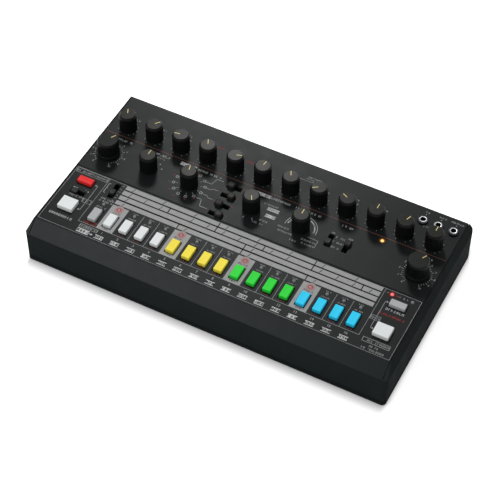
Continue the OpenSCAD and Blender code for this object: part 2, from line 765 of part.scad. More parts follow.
top_case();
bottom_case();
control_board();
main_board();
ribbon_cable();
potentiometers();
panel_jacks();
rear_sockets();
switch_bodies();
lights();
rubber_feet();
screws();
for (i = [0 : row_knobs - 1]) knob(row_spots[i]);
knob(decay_spot);  // decay_knob
knob(voice_spot);  // voice_knob
knob(mode_spot);  // mode_knob
knob(variation_spot);  // variation_knob
knob(tempo_spot);  // tempo_knob
knob(volume_spot);  // volume_knob
for (i = [0 : steps - 1]) step_button(i);
button(accent_spot, "#b9bcbe");  // accent_button
button(clear_spot, "#e03e41");  // clear_button
button(fill_spot, "#c8cacb");  // fill_button
button(start_spot, "#f4f4f2");  // start_button
button(write_spot, "#f4f4f2");  // write_button
for (i = [0 : 3]) slide_cap(voice_slides[i]);
slide_cap(fade_in);  // fade_in_switch
slide_cap(fade_out);  // fade_out_switch
slide_cap(clock_slide);  // clock_switch
slide_cap(play_slide);  // play_switch
power_rocker();
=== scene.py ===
"""Looks of a desktop drum machine: case, printed deck, knobs, keys, slides, lights and sockets."""

import json
import math

import bmesh
import bpy
from bpy.props import BoolProperty, FloatProperty, FloatVectorProperty, IntProperty, PointerProperty
from bpy.types import NodeSocket, Operator, Panel, PropertyGroup
from mathutils import Matrix, Vector


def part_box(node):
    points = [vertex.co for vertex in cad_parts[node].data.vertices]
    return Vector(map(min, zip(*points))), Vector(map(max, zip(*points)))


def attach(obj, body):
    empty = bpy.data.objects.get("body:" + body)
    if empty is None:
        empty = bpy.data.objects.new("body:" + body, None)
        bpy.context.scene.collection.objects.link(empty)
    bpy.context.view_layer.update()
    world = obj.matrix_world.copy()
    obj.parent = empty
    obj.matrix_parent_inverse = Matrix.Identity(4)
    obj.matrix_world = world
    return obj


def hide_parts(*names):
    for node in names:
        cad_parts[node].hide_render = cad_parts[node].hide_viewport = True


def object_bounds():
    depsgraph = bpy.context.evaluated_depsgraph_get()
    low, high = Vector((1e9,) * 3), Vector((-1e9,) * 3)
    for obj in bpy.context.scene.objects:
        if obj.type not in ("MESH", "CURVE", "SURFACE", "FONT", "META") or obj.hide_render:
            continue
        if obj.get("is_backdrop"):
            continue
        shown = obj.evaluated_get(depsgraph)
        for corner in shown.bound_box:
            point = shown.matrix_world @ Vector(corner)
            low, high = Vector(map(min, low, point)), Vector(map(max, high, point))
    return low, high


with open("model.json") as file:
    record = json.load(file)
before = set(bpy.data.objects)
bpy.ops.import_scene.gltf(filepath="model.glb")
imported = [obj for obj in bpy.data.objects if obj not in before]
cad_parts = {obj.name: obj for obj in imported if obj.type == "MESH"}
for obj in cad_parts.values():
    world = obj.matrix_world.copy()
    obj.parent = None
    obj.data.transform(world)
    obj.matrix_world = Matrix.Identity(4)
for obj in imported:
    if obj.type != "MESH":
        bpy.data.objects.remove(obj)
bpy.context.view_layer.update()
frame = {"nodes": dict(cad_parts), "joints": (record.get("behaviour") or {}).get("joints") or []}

bl_info = {
    "name": "Drum Machine",
    "version": (1, 0, 0),
    "blender": (4, 5, 0),
    "location": "View3D > Sidebar > Drum Machine",
    "description": "Builds the finished pieces of a desktop drum machine round its frame",
    "category": "Object",
}

MM = 0.001
TAU = 2 * math.pi
WELD = 0.002 * MM

# How far the deck's back edge lies inside the case's back, and the control board's top under the deck
BEVEL = 2.9
BOARD_DROP = 11.9

# Taken from the frame: the case's high corner and the deck's height in metres, then the deck's height
# and back edge and the control board's top in millimetres
CASE_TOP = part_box("top_case")[1]
DECK_Z = CASE_TOP.z
DECK = DECK_Z / MM
BACK = (CASE_TOP.y - BEVEL * MM) / MM
BOARD = (DECK_Z - BOARD_DROP * MM) / MM

STEPS = [f"step_button_{i:02d}" for i in range(1, 17)]
ROW_KNOBS = [f"row_knob_{i:02d}" for i in range(1, 13)]
SECOND_KNOBS = ["decay_knob", "voice_knob", "mode_knob", "variation_knob"]
LARGE_KNOBS = ["tempo_knob", "volume_knob"]
VOICES = [f"voice_switch_{i}" for i in range(1, 5)]
KEY_COLOURS = ("white", "yellow", "green", "blue")
JACK_XS = (116.1, 128.7, 141.3)
JACK_ROW = 13.9


def middle(node):
    """The middle of a node's box, seen from above, in millimetres across and behind the origin."""
    low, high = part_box(node)
    return (low.x + high.x) / 2 / MM, (low.y + high.y) / 2 / MM


def at(x, row):
    """A spot seen from above, from its place across and its distance from the deck's back edge."""
    return x, BACK - row


def spot_of(node):
    """The middle of a node, across and as its distance from the deck's back edge."""
    return at(*middle(node))


STEP_XS = [middle(node)[0] for node in STEPS]
QUARTER_XS = STEP_XS[::4]
OTHER_XS = [x for i, x in enumerate(STEP_XS) if i % 4]


# ---------- materials ----------


def put(thing, **values):
    """Sets several values of a thing at once."""
    for key, value in values.items():
        setattr(thing, key, value)


def feed(tree, node, feeds):
    """Gives a node's inputs their values, or joins them to the outputs of other nodes."""
    for key, value in feeds.items():
        if isinstance(value, NodeSocket):
            tree.links.new(value, node.inputs[key])
        else:
            node.inputs[key].default_value = value


def add(tree, kind, feeds=None, **settings):
    """A new node of one kind, with its settings and what goes into its inputs."""
    node = tree.nodes.new(kind)
    put(node, **settings)
    feed(tree, node, feeds or {})
    return node


def out(tree, kind, feeds=None, **settings):
    """The first output of a new node."""
    return add(tree, kind, feeds, **settings).outputs[0]


def maths(tree, operation, *parts):
    """The outcome of one sum of values or outputs."""
    return out(tree, "ShaderNodeMath", dict(enumerate(parts)), operation=operation)


def place_in(tree):
    """The place on the piece itself."""
    return add(tree, "ShaderNodeTexCoord").outputs["Object"]


def bare_material(name, colour, roughness, specular=0.5, metallic=0.0):
    """A material with its even values set on the shader."""
    material = bpy.data.materials.new(name)
    put(material, use_nodes=True, diffuse_color=(*colour, 1))
    tree = material.node_tree
    shader = tree.nodes["Principled BSDF"]
    feed(tree, shader, {"Base Color": (*colour, 1), "Roughness": roughness})
    feed(tree, shader, {"Specular IOR Level": specular, "Metallic": metallic})
    return material, tree, shader


def noise_at(tree, size, detail=2.0, stretch=(1, 1, 1)):
    """A noise pattern fixed to the piece, whose patches are about size millimetres across."""
    mapped = out(tree, "ShaderNodeMapping", {"Vector": place_in(tree), "Scale": stretch})
    return out(tree, "ShaderNodeTexNoise", {"Vector": mapped, "Scale": 1 / (size * MM), "Detail": detail})


def ramp_of(tree, factor, low, high, start=0.0, end=1.0):
    """A colour that runs from low to high between two values of a factor."""
    ramp = add(tree, "ShaderNodeValToRGB", {"Fac": factor})
    for element, colour, position in zip(ramp.color_ramp.elements, (low, high), (start, end)):
        put(element, color=(*colour, 1), position=position)
    return ramp.outputs["Color"]


def tinted(tree, shader, colour, spread, size):
    """Lets the colour drift a little over patches of a size."""
    low, high = ([min(c * (1 + side * spread), 1) for c in colour] for side in (-1, 1))
    shade = ramp_of(tree, noise_at(tree, size, 3.0), low, high, start=0.35, end=0.65)
    feed(tree, shader, {"Base Color": shade})


def worn(tree, shader, low, high, size, stretch=(1, 1, 1)):
    """Lets the roughness drift between two values."""
    limits = {"Value": noise_at(tree, size, 4.0, stretch), "From Min": 0.3, "From Max": 0.7}
    limits.update({"To Min": low, "To Max": high})
    feed(tree, shader, {"Roughness": out(tree, "ShaderNodeMapRange", limits)})


def grained(tree, shader, size, depth, strength=0.5, stretch=(1, 1, 1)):
    """A fine raised grain, its size and depth in millimetres."""
    grain = {"Height": noise_at(tree, size, 2.0, stretch), "Strength": strength, "Distance": depth * MM}
    feed(tree, shader, {"Normal": out(tree, "ShaderNodeBump", grain)})


# Of each plastic: its specular level, its grain's size and depth in millimetres, and how far its
# colour and roughness drift over the patches of tint and wear, also in millimetres
PLAIN = (0.5, 0.4, 0.02, 0.06, 0.05)
PLASTICS = {
    "case_plastic": (0.08, 0.35, 0.022, 0.03, 0.015),
    "strip_plastic": (0.13, 0.35, 0.022, 0.03, 0.015),
    "wall_plastic": (0.02, 0.45, 0.03, 0.03, 0.05),
    "tray_plastic": (0.02, 0.5, 0.03, 0.03, 0.05),
    "foot_rubber": (0.25, 0.6, 0.05, 0.12, 0.05),
    "knob_side": (0.06, 0.5, 0.012, 0.06, 0.05),
    "knob_shoulder": (0.08, 0.5, 0.012, 0.06, 0.05),
    "knob_top": (0.033, 0.3, 0.003, 0.04, 0.02),
    "large_knob_top": (0.03, 0.3, 0.005, 0.05, 0.05),
    "slide_plastic": (0.12, 0.4, 0.015, 0.06, 0.05),
    "socket_plastic": (0.35, 0.4, 0.015, 0.06, 0.05),
    "rocker_plastic": (0.4, 0.5, 0.008, 0.06, 0.05),
    "switch_plastic": (0.2, 0.4, 0.02, 0.06, 0.05),
}
KEY_PLASTIC = (0.06, 0.5, 0.01, 0.02, 0.05)
TINT_PATCH, WEAR_PATCH = 14, 9


def moulded(name, colour, roughness, look=PLAIN):
    """Moulded plastic: an even colour, a fine grain and faint handling marks."""
    specular, grain, depth, spread, drift = PLASTICS.get(name, look)
    material, tree, shader = bare_material(name, colour, roughness, specular)
    tinted(tree, shader, colour, spread, TINT_PATCH)
    worn(tree, shader, roughness - drift, roughness + drift, WEAR_PATCH)
    grained(tree, shader, grain, depth)
    return material


def metal(name, colour, roughness, stretch=(1, 1, 1)):
    """Plated metal with fine drawing marks."""
    material, tree, shader = bare_material(name, colour, roughness, 0.5, 1.0)
    tinted(tree, shader, colour, 0.05, 3)
    worn(tree, shader, roughness * 0.7, roughness * 1.3, 1.5, stretch)
    grained(tree, shader, 0.25, 0.006, 0.4, stretch)
    return material


def ink(name, colour, roughness=0.5, specular=0.08):
    """Screen-printed ink, with slight differences in how thick it lies."""
    material, tree, shader = bare_material(name, colour, roughness, specular)
    tinted(tree, shader, colour, 0.05, 5)
    grained(tree, shader, 0.3, 0.006, 0.4)
    return material


def lens(name, colour, glow, strength, coat):
    """A coloured lens, brighter in its middle when it glows, and matt without a coat."""
    material, tree, shader = bare_material(name, colour, *((0.18, 0.5) if coat else (0.5, 0.25)))
    facing = add(tree, "ShaderNodeLayerWeight", {"Blend": 0.35}).outputs["Facing"]
    feed(tree, shader, {"Coat Weight": coat, "Coat Roughness": 0.08})
    feed(tree, shader, {"Emission Color": ramp_of(tree, facing, *glow), "Emission Strength": strength})
    tinted(tree, shader, colour, 0.08, 1.5)
    grained(tree, shader, 0.5, 0.01, 0.3)
    return material


def board_material(name):
    """Solder mask over faint straight tracks."""
    colour = (0.012, 0.085, 0.038)
    material, tree, shader = bare_material(name, colour, 0.38)
    tracks = {"Vector": place_in(tree), "Scale": 90, "Mortar Size": 0.012, "Color1": (*colour, 1)}
    tracks.update({"Color2": (0.014, 0.1, 0.045, 1), "Mortar": (0.03, 0.17, 0.085, 1)})
    feed(tree, shader, {"Base Color": out(tree, "ShaderNodeTexBrick", tracks)})
    worn(tree, shader, 0.3, 0.45, 6)
    return material


def ribbon_material(name):
    """Grey flat cable whose leads show as fine lines along it."""
    colour = (0.30, 0.31, 0.32)
    material, tree, shader = bare_material(name, colour, 0.5)
    leads = {"Vector": place_in(tree), "Scale": 1 / (1.27 * MM) / 3.2, "Distortion": 0.0}
    wave = add(tree, "ShaderNodeTexWave", leads, wave_type="BANDS", bands_direction="X")
    shade = ramp_of(tree, wave.outputs["Fac"], [c * 0.5 for c in colour], colour)
    feed(tree, shader, {"Base Color": shade})
    return material


def spill_material(name, ground, tint, glow, strength):
    """Light spilt on the ground round a lamp, strongest at the lamp."""
    material, tree, shader = bare_material(name, ground, 0.5, 0.05)
    fade = add(tree, "ShaderNodeAttribute", attribute_name="fade").outputs["Fac"]
    mix = add(tree, "ShaderNodeMix", data_type="RGBA")
    feed(tree, mix, {0: fade, 6: (*ground, 1), 7: (*tint, 1)})
    power = maths(tree, "MULTIPLY", fade, strength)
    feed(tree, shader, {"Base Color": mix.outputs[2], "Emission Strength": power})
    feed(tree, shader, {"Emission Color": (*glow, 1)})
    return material


# ---------- forms ----------


def around(x, y, radius, angle):
    """A spot on a circle, at an angle in radians."""
    return x + radius * math.cos(angle), y + radius * math.sin(angle)


def loft(bm, rings, paint=0, hollow=False):
    """Skins rings that run anticlockwise from the bottom up, and closes or joins both ends."""
    rows = [[bm.verts.new(p) for p in ring] for ring in rings]
    paints = paint if isinstance(paint, list) else [paint] * len(rows)
    joined = rows + rows[:1] if hollow else rows
    for low, high, index in zip(joined, joined[1:], paints):
        for i in range(len(low)):
            j = (i + 1) % len(low)
            bm.faces.new((low[i], low[j], high[j], high[i])).material_index = index
    if not hollow:
        bm.faces.new(rows[0][::-1]).material_index = paint
        bm.faces.new(rows[-1]).material_index = paint
    return rows


def circle(x, y, radius, z, count=48, knurl=0.0):
    """One ring of a round form in millimetres, with every second spot sunk by the knurl."""
    spots = [around(x, y, radius - knurl * (i % 2), TAU * i / count) for i in range(count)]
    return [Vector((*spot, z)) * MM for spot in spots]


def turned(bm, x, y, profile, paint=0, count=48, hollow=False):
    """A round form whose outline is a list of radius and height."""
    return loft(bm, [circle(x, y, r, z, count) for r, z in profile], paint, hollow)


def round_outline(x, y, w, l, radius, z, steps=5):
    """One ring of a block with round upright corners."""
    radius = min(max(radius, 0.04), w / 2 - 0.01, l / 2 - 0.01)
    points = []
    for side_x, side_y, start in ((1, 1, 0), (-1, 1, 90), (-1, -1, 180), (1, -1, 270)):
        corner = (x + side_x * (w / 2 - radius), y + side_y * (l / 2 - radius))
        for k in range(steps + 1):
            spot = around(*corner, radius, math.radians(start + 90 * k / steps))
            points.append(Vector((*spot, z)) * MM)
    return points


def cap_form(bm, x, y, w, l, low, high, corner, edge, dish=0.0):
    """A cap with round corners, a round top edge and a faintly dished top."""
    foot = 0.15
    rings = [(foot, corner, low), (0, corner, low + foot)]
    for k in range(6):
        a = math.radians(90 * k / 5)
        inset = edge * (1 - math.cos(a))
        rings.append((inset, corner - inset, high - edge + edge * math.sin(a)))
    for share in (0.25, 0.5, 0.75, 0.94):
        inset = edge + (min(w, l) / 2 - edge) * share
        rings.append((inset, max(corner - inset, 0.3), high - dish * math.sin(math.radians(90 * share))))
    loft(bm, [round_outline(x, y, w - 2 * inset, l - 2 * inset, r, z) for inset, r, z in rings])


def mesh_from(name, bm):
    """Turns the gathered faces into a mesh with all of them pointing outwards."""
    bmesh.ops.recalc_face_normals(bm, faces=bm.faces)
    mesh = bpy.data.meshes.new(name)
    bm.to_mesh(mesh)
    bm.free()
    return mesh


def piece(name, form, materials, stands_for=None, split=34, body="case"):
    """A finished piece: smooth but for its sharp edges, with its materials, riding on its body."""
    mesh = mesh_from(name, form) if isinstance(form, bmesh.types.BMesh) else form
    paints = [0] * len(mesh.polygons)
    mesh.polygons.foreach_get("material_index", paints)
    mesh.materials.clear()
    for material in materials:
        mesh.materials.append(material)
    mesh.polygons.foreach_set("material_index", paints)
    mesh.polygons.foreach_set("use_smooth", [True] * len(mesh.polygons))
    if split:
        mesh.set_sharp_from_angle(angle=math.radians(split))
    obj = bpy.data.objects.new(name, mesh)
    bpy.context.scene.collection.objects.link(obj)
    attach(obj, body)
    if stands_for:
        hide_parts(stands_for)


def baked(data, modify=None):
    """The mesh that a mesh or curve becomes, under the modifiers that modify puts on it."""
    obj = bpy.data.objects.new("bench", data)
    bpy.context.scene.collection.objects.link(obj)
    if modify:
        modify(obj)
    graph = bpy.context.evaluated_depsgraph_get()
    ready = obj.evaluated_get(graph)
    made = bpy.data.meshes.new_from_object(ready, preserve_all_data_layers=True, depsgraph=graph)
    bpy.data.objects.remove(obj)
    return made


def merged_copy(node):
    """A copy of a node's mesh with its doubles merged and its flat faces joined."""
    bm = bmesh.new()
    bm.from_mesh(frame["nodes"][node].data)
    bmesh.ops.remove_doubles(bm, verts=bm.verts, dist=WELD)
    bmesh.ops.dissolve_limit(bm, angle_limit=math.radians(0.6), verts=bm.verts, edges=bm.edges)
    for face in bm.faces:
        face.material_index = 0
    return bm


def softened(bm, name, width, segments=2):
    """Rounds the sharp edges of a merged copy and keeps its flat faces flat."""
    mesh = bpy.data.meshes.new(name)
    bm.to_mesh(mesh)
    bm.free()
    mesh.polygons.foreach_set("use_smooth", [True] * len(mesh.polygons))

    def modify(obj):
        bevel = obj.modifiers.new("Rounded edges", "BEVEL")
        put(bevel, limit_method="ANGLE", angle_limit=math.radians(32), width=width, segments=segments)
        put(bevel, use_clamp_overlap=False, harden_normals=True)
        put(obj.modifiers.new("Flat faces", "WEIGHTED_NORMAL"), mode="FACE_AREA", weight=100)

    return baked(mesh, modify)


def rounded_piece(name, node, material, edge, segments=2, body="case"):
    """A finished piece made from a node's own form with its sharp edges rounded."""
    form = softened(merged_copy(node), name, edge, segments)
    piece(name, form, [material], node, 0, body)


def islands(bm):
    """The loose parts of a mesh, each as its faces with the low and high corner of its box."""
    left = set(bm.faces)
    found = []
    while left:
        seed = left.pop()
        part, queue = {seed}, [seed]
        while queue:
            for edge in queue.pop().edges:
                for face in edge.link_faces:
                    if face in left:
                        left.discard(face)
                        part.add(face)
                        queue.append(face)
        places = [v.co for face in part for v in face.verts]
        low, high = (Vector([pick(p[k] for p in places) for k in range(3)]) for pick in (min, max))
        found.append((part, low, high))
    return found


# ---------- geometry node trees ----------


def new_tree(name, inputs):
    """A geometry tree with its named inputs, and its input's outputs and its output node."""
    tree = bpy.data.node_groups.new(name, "GeometryNodeTree")
    tree.interface.new_socket("Geometry", in_out="INPUT", socket_type="NodeSocketGeometry")
    for title, value in inputs.items():
        kind = "NodeSocketInt" if isinstance(value, int) else "NodeSocketFloat"
        tree.interface.new_socket(title, in_out="INPUT", socket_type=kind).default_value = value
    tree.interface.new_socket("Material", in_out="INPUT", socket_type="NodeSocketMaterial")
    tree.interface.new_socket("Geometry", in_out="OUTPUT", socket_type="NodeSocketGeometry")
    return tree, add(tree, "NodeGroupInput").outputs, add(tree, "NodeGroupOutput")


def with_tree(mesh, tree, values):
    """Runs a mesh through a tree, with its inputs set by their identifiers."""

    def modify(obj):
        modifier = obj.modifiers.new(tree.name, "NODES")
        modifier.node_group = tree
        for item in tree.interface.items_tree:
            if item.item_type == "SOCKET" and item.in_out == "INPUT" and item.name in values:
                modifier[item.identifier] = values[item.name]

    return baked(mesh, modify)


def finish_tree(tree, source, given, last):
    """Ends a tree in real geometry with its material."""
    real = out(tree, "GeometryNodeRealizeInstances", {"Geometry": source})
    painted = out(tree, "GeometryNodeSetMaterial", {"Geometry": real, "Material": given["Material"]})
    feed(tree, last, {"Geometry": painted})
    return tree


def scaled(tree, vector, factor):
    """A fixed vector times a number."""
    return out(tree, "ShaderNodeVectorMath", {0: vector, "Scale": factor}, operation="SCALE")


def copies(tree, points, form, **more):
    """Copies of a form on every point."""
    return out(tree, "GeometryNodeInstanceOnPoints", {"Points": points, "Instance": form, **more})


def on_circle(tree, angle, radius):
    """A place at an angle and a distance from the upright axis."""
    parts = [maths(tree, "MULTIPLY", maths(tree, part, angle), radius) for part in ("COSINE", "SINE")]
    return out(tree, "ShaderNodeCombineXYZ", dict(zip("XY", parts)))


def chance(tree, probability, seed, given):
    """True by chance, for each point."""
    draw = {"Probability": probability, "Seed": maths(tree, "ADD", given["Seed"], seed)}
    return add(tree, "FunctionNodeRandomValue", draw, data_type="BOOLEAN").outputs[3]


def caption_tree():
    """Fills each edge of a mesh with a row of small printed strokes."""
    tree, given, last = new_tree("Caption", {"Height": 1.6 * MM, "Thickness": 0.04 * MM, "Seed": 1})
    height = given["Height"]
    line = out(tree, "GeometryNodeMeshToCurve", {"Mesh": given["Geometry"]})
    spacing = {"Curve": line, "Length": maths(tree, "MULTIPLY", height, 0.86)}
    points = out(tree, "GeometryNodeCurveToPoints", spacing, mode="LENGTH")
    kept = chance(tree, 0.9, 40, given)
    flat = out(tree, "ShaderNodeCombineXYZ", {"Z": given["Thickness"]})
    joined = add(tree, "GeometryNodeJoinGeometry")
    # Each stroke's place and size, as shares of the height, and how likely it is
    strokes = [
        ((-0.24, 0, 0), (0.15, 1.0, 0), 0.9),
        ((0.24, 0, 0), (0.15, 1.0, 0), 0.5),
        ((0, 0.43, 0), (0.56, 0.14, 0), 0.5),
        ((0, 0.0, 0), (0.5, 0.14, 0), 0.45),
        ((0, -0.43, 0), (0.56, 0.14, 0), 0.5),
    ]
    for i, (offset, size, likely) in enumerate(strokes):
        offset = scaled(tree, offset, height)
        moved = out(tree, "GeometryNodeSetPosition", {"Geometry": points, "Offset": offset})
        size = out(tree, "ShaderNodeVectorMath", {0: scaled(tree, size, height), 1: flat}, operation="ADD")
        block = out(tree, "GeometryNodeMeshCube", {"Size": size})
        both = {0: kept, 1: chance(tree, likely, i, given)}
        chosen = out(tree, "FunctionNodeBooleanMath", both, operation="AND")
        feed(tree, joined, {"Geometry": copies(tree, moved, block, Selection=chosen)})
    return finish_tree(tree, joined.outputs["Geometry"], given, last)


def dial_tree():
    """Puts an arc of short marks round each point of a mesh."""
    sizes = {"Radius": 10 * MM, "Length": 1 * MM, "Width": 0.3 * MM, "First Angle": -60.0, "Sweep": 300.0}
    tree, given, last = new_tree("Dial marks", {**sizes, "Count": 11, "Thickness": 0.04 * MM})
    start = {"Count": given["Count"], "Offset": (0, 0, 0)}
    line = out(tree, "GeometryNodeMeshLine", start, mode="OFFSET")
    last_mark = maths(tree, "SUBTRACT", given["Count"], 1)
    share = maths(tree, "DIVIDE", out(tree, "GeometryNodeInputIndex"), last_mark)
    degrees = maths(tree, "MULTIPLY_ADD", share, given["Sweep"], given["First Angle"])
    angle = maths(tree, "RADIANS", degrees)
    place = on_circle(tree, angle, given["Radius"])
    points = out(tree, "GeometryNodeSetPosition", {"Geometry": line, "Position": place})
    size = {"X": given["Length"], "Y": given["Width"], "Z": given["Thickness"]}
    block = out(tree, "GeometryNodeMeshCube", {"Size": out(tree, "ShaderNodeCombineXYZ", size)})
    turn = out(tree, "ShaderNodeCombineXYZ", {"Z": angle})
    marks = copies(tree, points, block, Rotation=turn)
    return finish_tree(tree, copies(tree, given["Geometry"], marks), given, last)


def flute_tree():
    """Presses upright flutes into a turned form, as deep at each point as its grip value says."""
    tree, given, last = new_tree("Flutes", {"Count": 24, "Depth": 0.4 * MM})
    place = add(tree, "ShaderNodeSeparateXYZ", {0: out(tree, "GeometryNodeInputPosition")}).outputs
    grip = out(tree, "GeometryNodeInputNamedAttribute", {"Name": "grip"}, data_type="FLOAT")
    angle = maths(tree, "ARCTAN2", place["Y"], place["X"])
    swing = maths(tree, "COSINE", maths(tree, "MULTIPLY", angle, given["Count"]))
    shape = maths(tree, "POWER", maths(tree, "MULTIPLY_ADD", swing, 0.5, 0.5), 1.6)
    cut = maths(tree, "MULTIPLY", maths(tree, "MULTIPLY", shape, given["Depth"]), grip)
    inward = on_circle(tree, angle, maths(tree, "MULTIPLY", cut, -1))
    moved = out(tree, "GeometryNodeSetPosition", {"Geometry": given["Geometry"], "Offset": inward})
    return finish_tree(tree, moved, given, last)


# ---------- settings ----------


def colour_of(thing, *value):
    """The setting for the colour of a thing."""
    limits = {"subtype": "COLOR", "size": 3, "min": 0, "max": 1, "default": value}
    return FloatVectorProperty(name=thing.capitalize(), description=f"Colour of the {thing}", **limits)


def amount_of(title, text, value, **more):
    """A setting that is a number from nothing up."""
    return FloatProperty(name=title, description=text, min=0, default=value, **more)


def length_of(title, text, value):
    """A length setting in millimetres."""
    return amount_of(title, text, value * MM, subtype="DISTANCE", unit="LENGTH")


def count_of(title, text, value):
    """A setting that is a whole number."""
    return IntProperty(name=title, description=text, default=value)


class CaseSettings(PropertyGroup):
    """The case's edges and plastic."""

    edge: length_of("Edge radius", "How far the case's sharp edges are rounded", 0.15)
    colour: colour_of("moulded case", 0.0105, 0.0128, 0.0128)
    roughness: amount_of("Deck roughness", "Sheen of the deck", 0.40, max=1)
    walls: amount_of("Wall roughness", "Sheen of the side walls", 0.8, max=1)


class PrintSettings(PropertyGroup):
    """The printed marks on the deck."""

    lift: length_of("Ink thickness", "How far the ink stands above the deck", 0.04)
    white: colour_of("white boxes and headings", 0.52, 0.53, 0.53)
    pale: colour_of("thin lines, numbers and captions", 0.36, 0.37, 0.37)
    red: colour_of("larger red marks", 0.46, 0.045, 0.035)
    dim: colour_of("small red marks", 0.24, 0.062, 0.05)
    rule: colour_of("thin rule across the deck", 0.32, 0.115, 0.095)
    grey: colour_of("grey bars and tiles", 0.325, 0.326, 0.325)
    seed: count_of("Caption seed", "Choice of strokes in the captions", 3)


class KnobSettings(PropertyGroup):
    """The knobs."""

    small_flutes: count_of("Small flutes", "Flutes round a small knob", 24)
    large_flutes: count_of("Large flutes", "Flutes round a large knob", 30)
    flute_depth: length_of("Flute depth", "How deep the flutes are", 0.42)
    body: colour_of("sides of the knobs", 0.006, 0.0065, 0.0065)
    # The slopes and tops are lighter than the sides by painted light, for the lamps falling on their upward
    # faces
    shoulder: colour_of("slopes round their tops", 0.011, 0.0105, 0.0112)
    top: colour_of("tops of the small knobs", 0.0275, 0.0285, 0.0245)
    large: colour_of("tops of the large knobs", 0.0215, 0.0235, 0.0215)
    pointer: colour_of("painted pointers", 0.84, 0.70, 0.32)
    pointer_width: length_of("Pointer width", "Width of the painted pointers", 0.5)


class KeySettings(PropertyGroup):
    """The keys."""

    dish: length_of("Dish", "How far a key's top dips in the middle", 0.12)
    white: colour_of("white keys", 0.76, 0.79, 0.79)
    yellow: colour_of("yellow keys", 0.93, 0.78, 0.075)
    green: colour_of("green keys", 0.03, 0.70, 0.05)
    blue: colour_of("blue keys", 0.03, 0.64, 0.95)
    red: colour_of("red key", 0.78, 0.032, 0.034)
    grey: colour_of("grey keys", 0.415, 0.422, 0.43)


class SlideSettings(PropertyGroup):
    """The slide switches."""

    colour: colour_of("slide caps", 0.017, 0.0165, 0.0155)
    dish: length_of("Dish", "How far a slide cap's top dips in the middle", 0.1)


class LightSettings(PropertyGroup):
    """The small lights."""

    lit: amount_of("Glow", "Strength of a lit light", 1.0)
    amber: BoolProperty(name="Amber light on", description="Lights the amber light", default=True)


class SocketSettings(PropertyGroup):
    """The panel jacks and rear sockets."""

    plate: colour_of("plated metal", 0.78, 0.79, 0.80)
    edge: length_of("Edge radius", "How far the sockets' edges are rounded", 0.12)


class StageSettings(PropertyGroup):
    """The floor, the lamps and the camera."""

    floor: colour_of("floor", 0.80, 0.80, 0.80)
    glow: amount_of("Floor glow", "How far the floor is lifted to white", 0.75)
    # Painted shadow: the floor's glow is held this low close to the case
    near: amount_of("Glow near the case", "The same, close to the case", 0.06)
    key: amount_of("Key lamp", "Power of the lamp behind on the left", 7.5, subtype="POWER")
    fill: amount_of("Fill lamp", "Power of the lamp in front", 5.0, subtype="POWER")
    sky: amount_of("Sky", "Strength of the even light all round", 0.5)
    lens: amount_of("Lens", "Focal length", 118.97, subtype="DISTANCE_CAMERA")


SETTINGS = {
    "drum_case": CaseSettings,
    "drum_print": PrintSettings,
    "drum_knob": KnobSettings,
    "drum_key": KeySettings,
    "drum_slide": SlideSettings,
    "drum_light": LightSettings,
    "drum_socket": SocketSettings,
    "drum_stage": StageSettings,
}


# ---------- stage ----------


def away_from_case(tree, near, far):
    """The floor's glow, rising from near to far with the distance from the case's outline, so that the
    floor close to the case shows a painted shadow.
    """
    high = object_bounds()[1]
    place = add(tree, "ShaderNodeSeparateXYZ", {0: place_in(tree)}).outputs
    squares = []
    # The painted shadow reaches further out in front of the case than at its sides
    for axis, half, fade in (("X", high.x, 7 * MM), ("Y", high.y, 15 * MM)):
        beyond = maths(tree, "SUBTRACT", maths(tree, "ABSOLUTE", place[axis]), half - 3 * MM)
        share = maths(tree, "DIVIDE", maths(tree, "MAXIMUM", beyond, 0), fade)
        squares.append(maths(tree, "POWER", share, 2))
    distance = maths(tree, "SQRT", maths(tree, "ADD", *squares))
    limits = {"Value": distance, "To Min": near, "To Max": far}
    return out(tree, "ShaderNodeMapRange", limits, interpolation_type="SMOOTHSTEP")


def seen_white(tree):
    """One for what the camera, gloss and glass see, else nothing."""
    path = add(tree, "ShaderNodeLightPath").outputs
    mirrored = maths(tree, "MAXIMUM", path["Is Glossy Ray"], path["Is Transmission Ray"])
    return maths(tree, "MAXIMUM", path["Is Camera Ray"], mirrored)


# The floor in millimetres, then the lamps and the camera in metres
FLOOR_SIZE, FLOOR_CORNER, FLOOR_DEPTH = 9000, 100, 20
FLOOR_PATCH = 300
LAMP_AIM = (0, 0, 0.02)
KEY_PLACE, KEY_SIZE = (-0.435, 0.85, 0.98), (0.25, 0.25)
FILL_PLACE, FILL_SIZE = (-0.58, -0.92, 1.05), (0.5, 0.4)
EYE = (0.3735, -0.7425, 0.992)
EYE_RIGHT = (0.88889, 0.45805, 0.0083)
EYE_UP = (-0.35478, 0.67679, 0.64505)
EYE_BACK = (0.28985, -0.57632, 0.76409)


def lamp(name, place, size, power):
    """A rectangular lamp that points at the machine."""
    data = bpy.data.lights.new(name, "AREA")
    put(data, shape="RECTANGLE", size=size[0], size_y=size[1], energy=power)
    obj = bpy.data.objects.new(name, data)
    aim = Vector(LAMP_AIM) - Vector(place)
    put(obj, location=place, rotation_euler=aim.to_track_quat("-Z", "Y").to_euler())
    bpy.context.scene.collection.objects.link(obj)


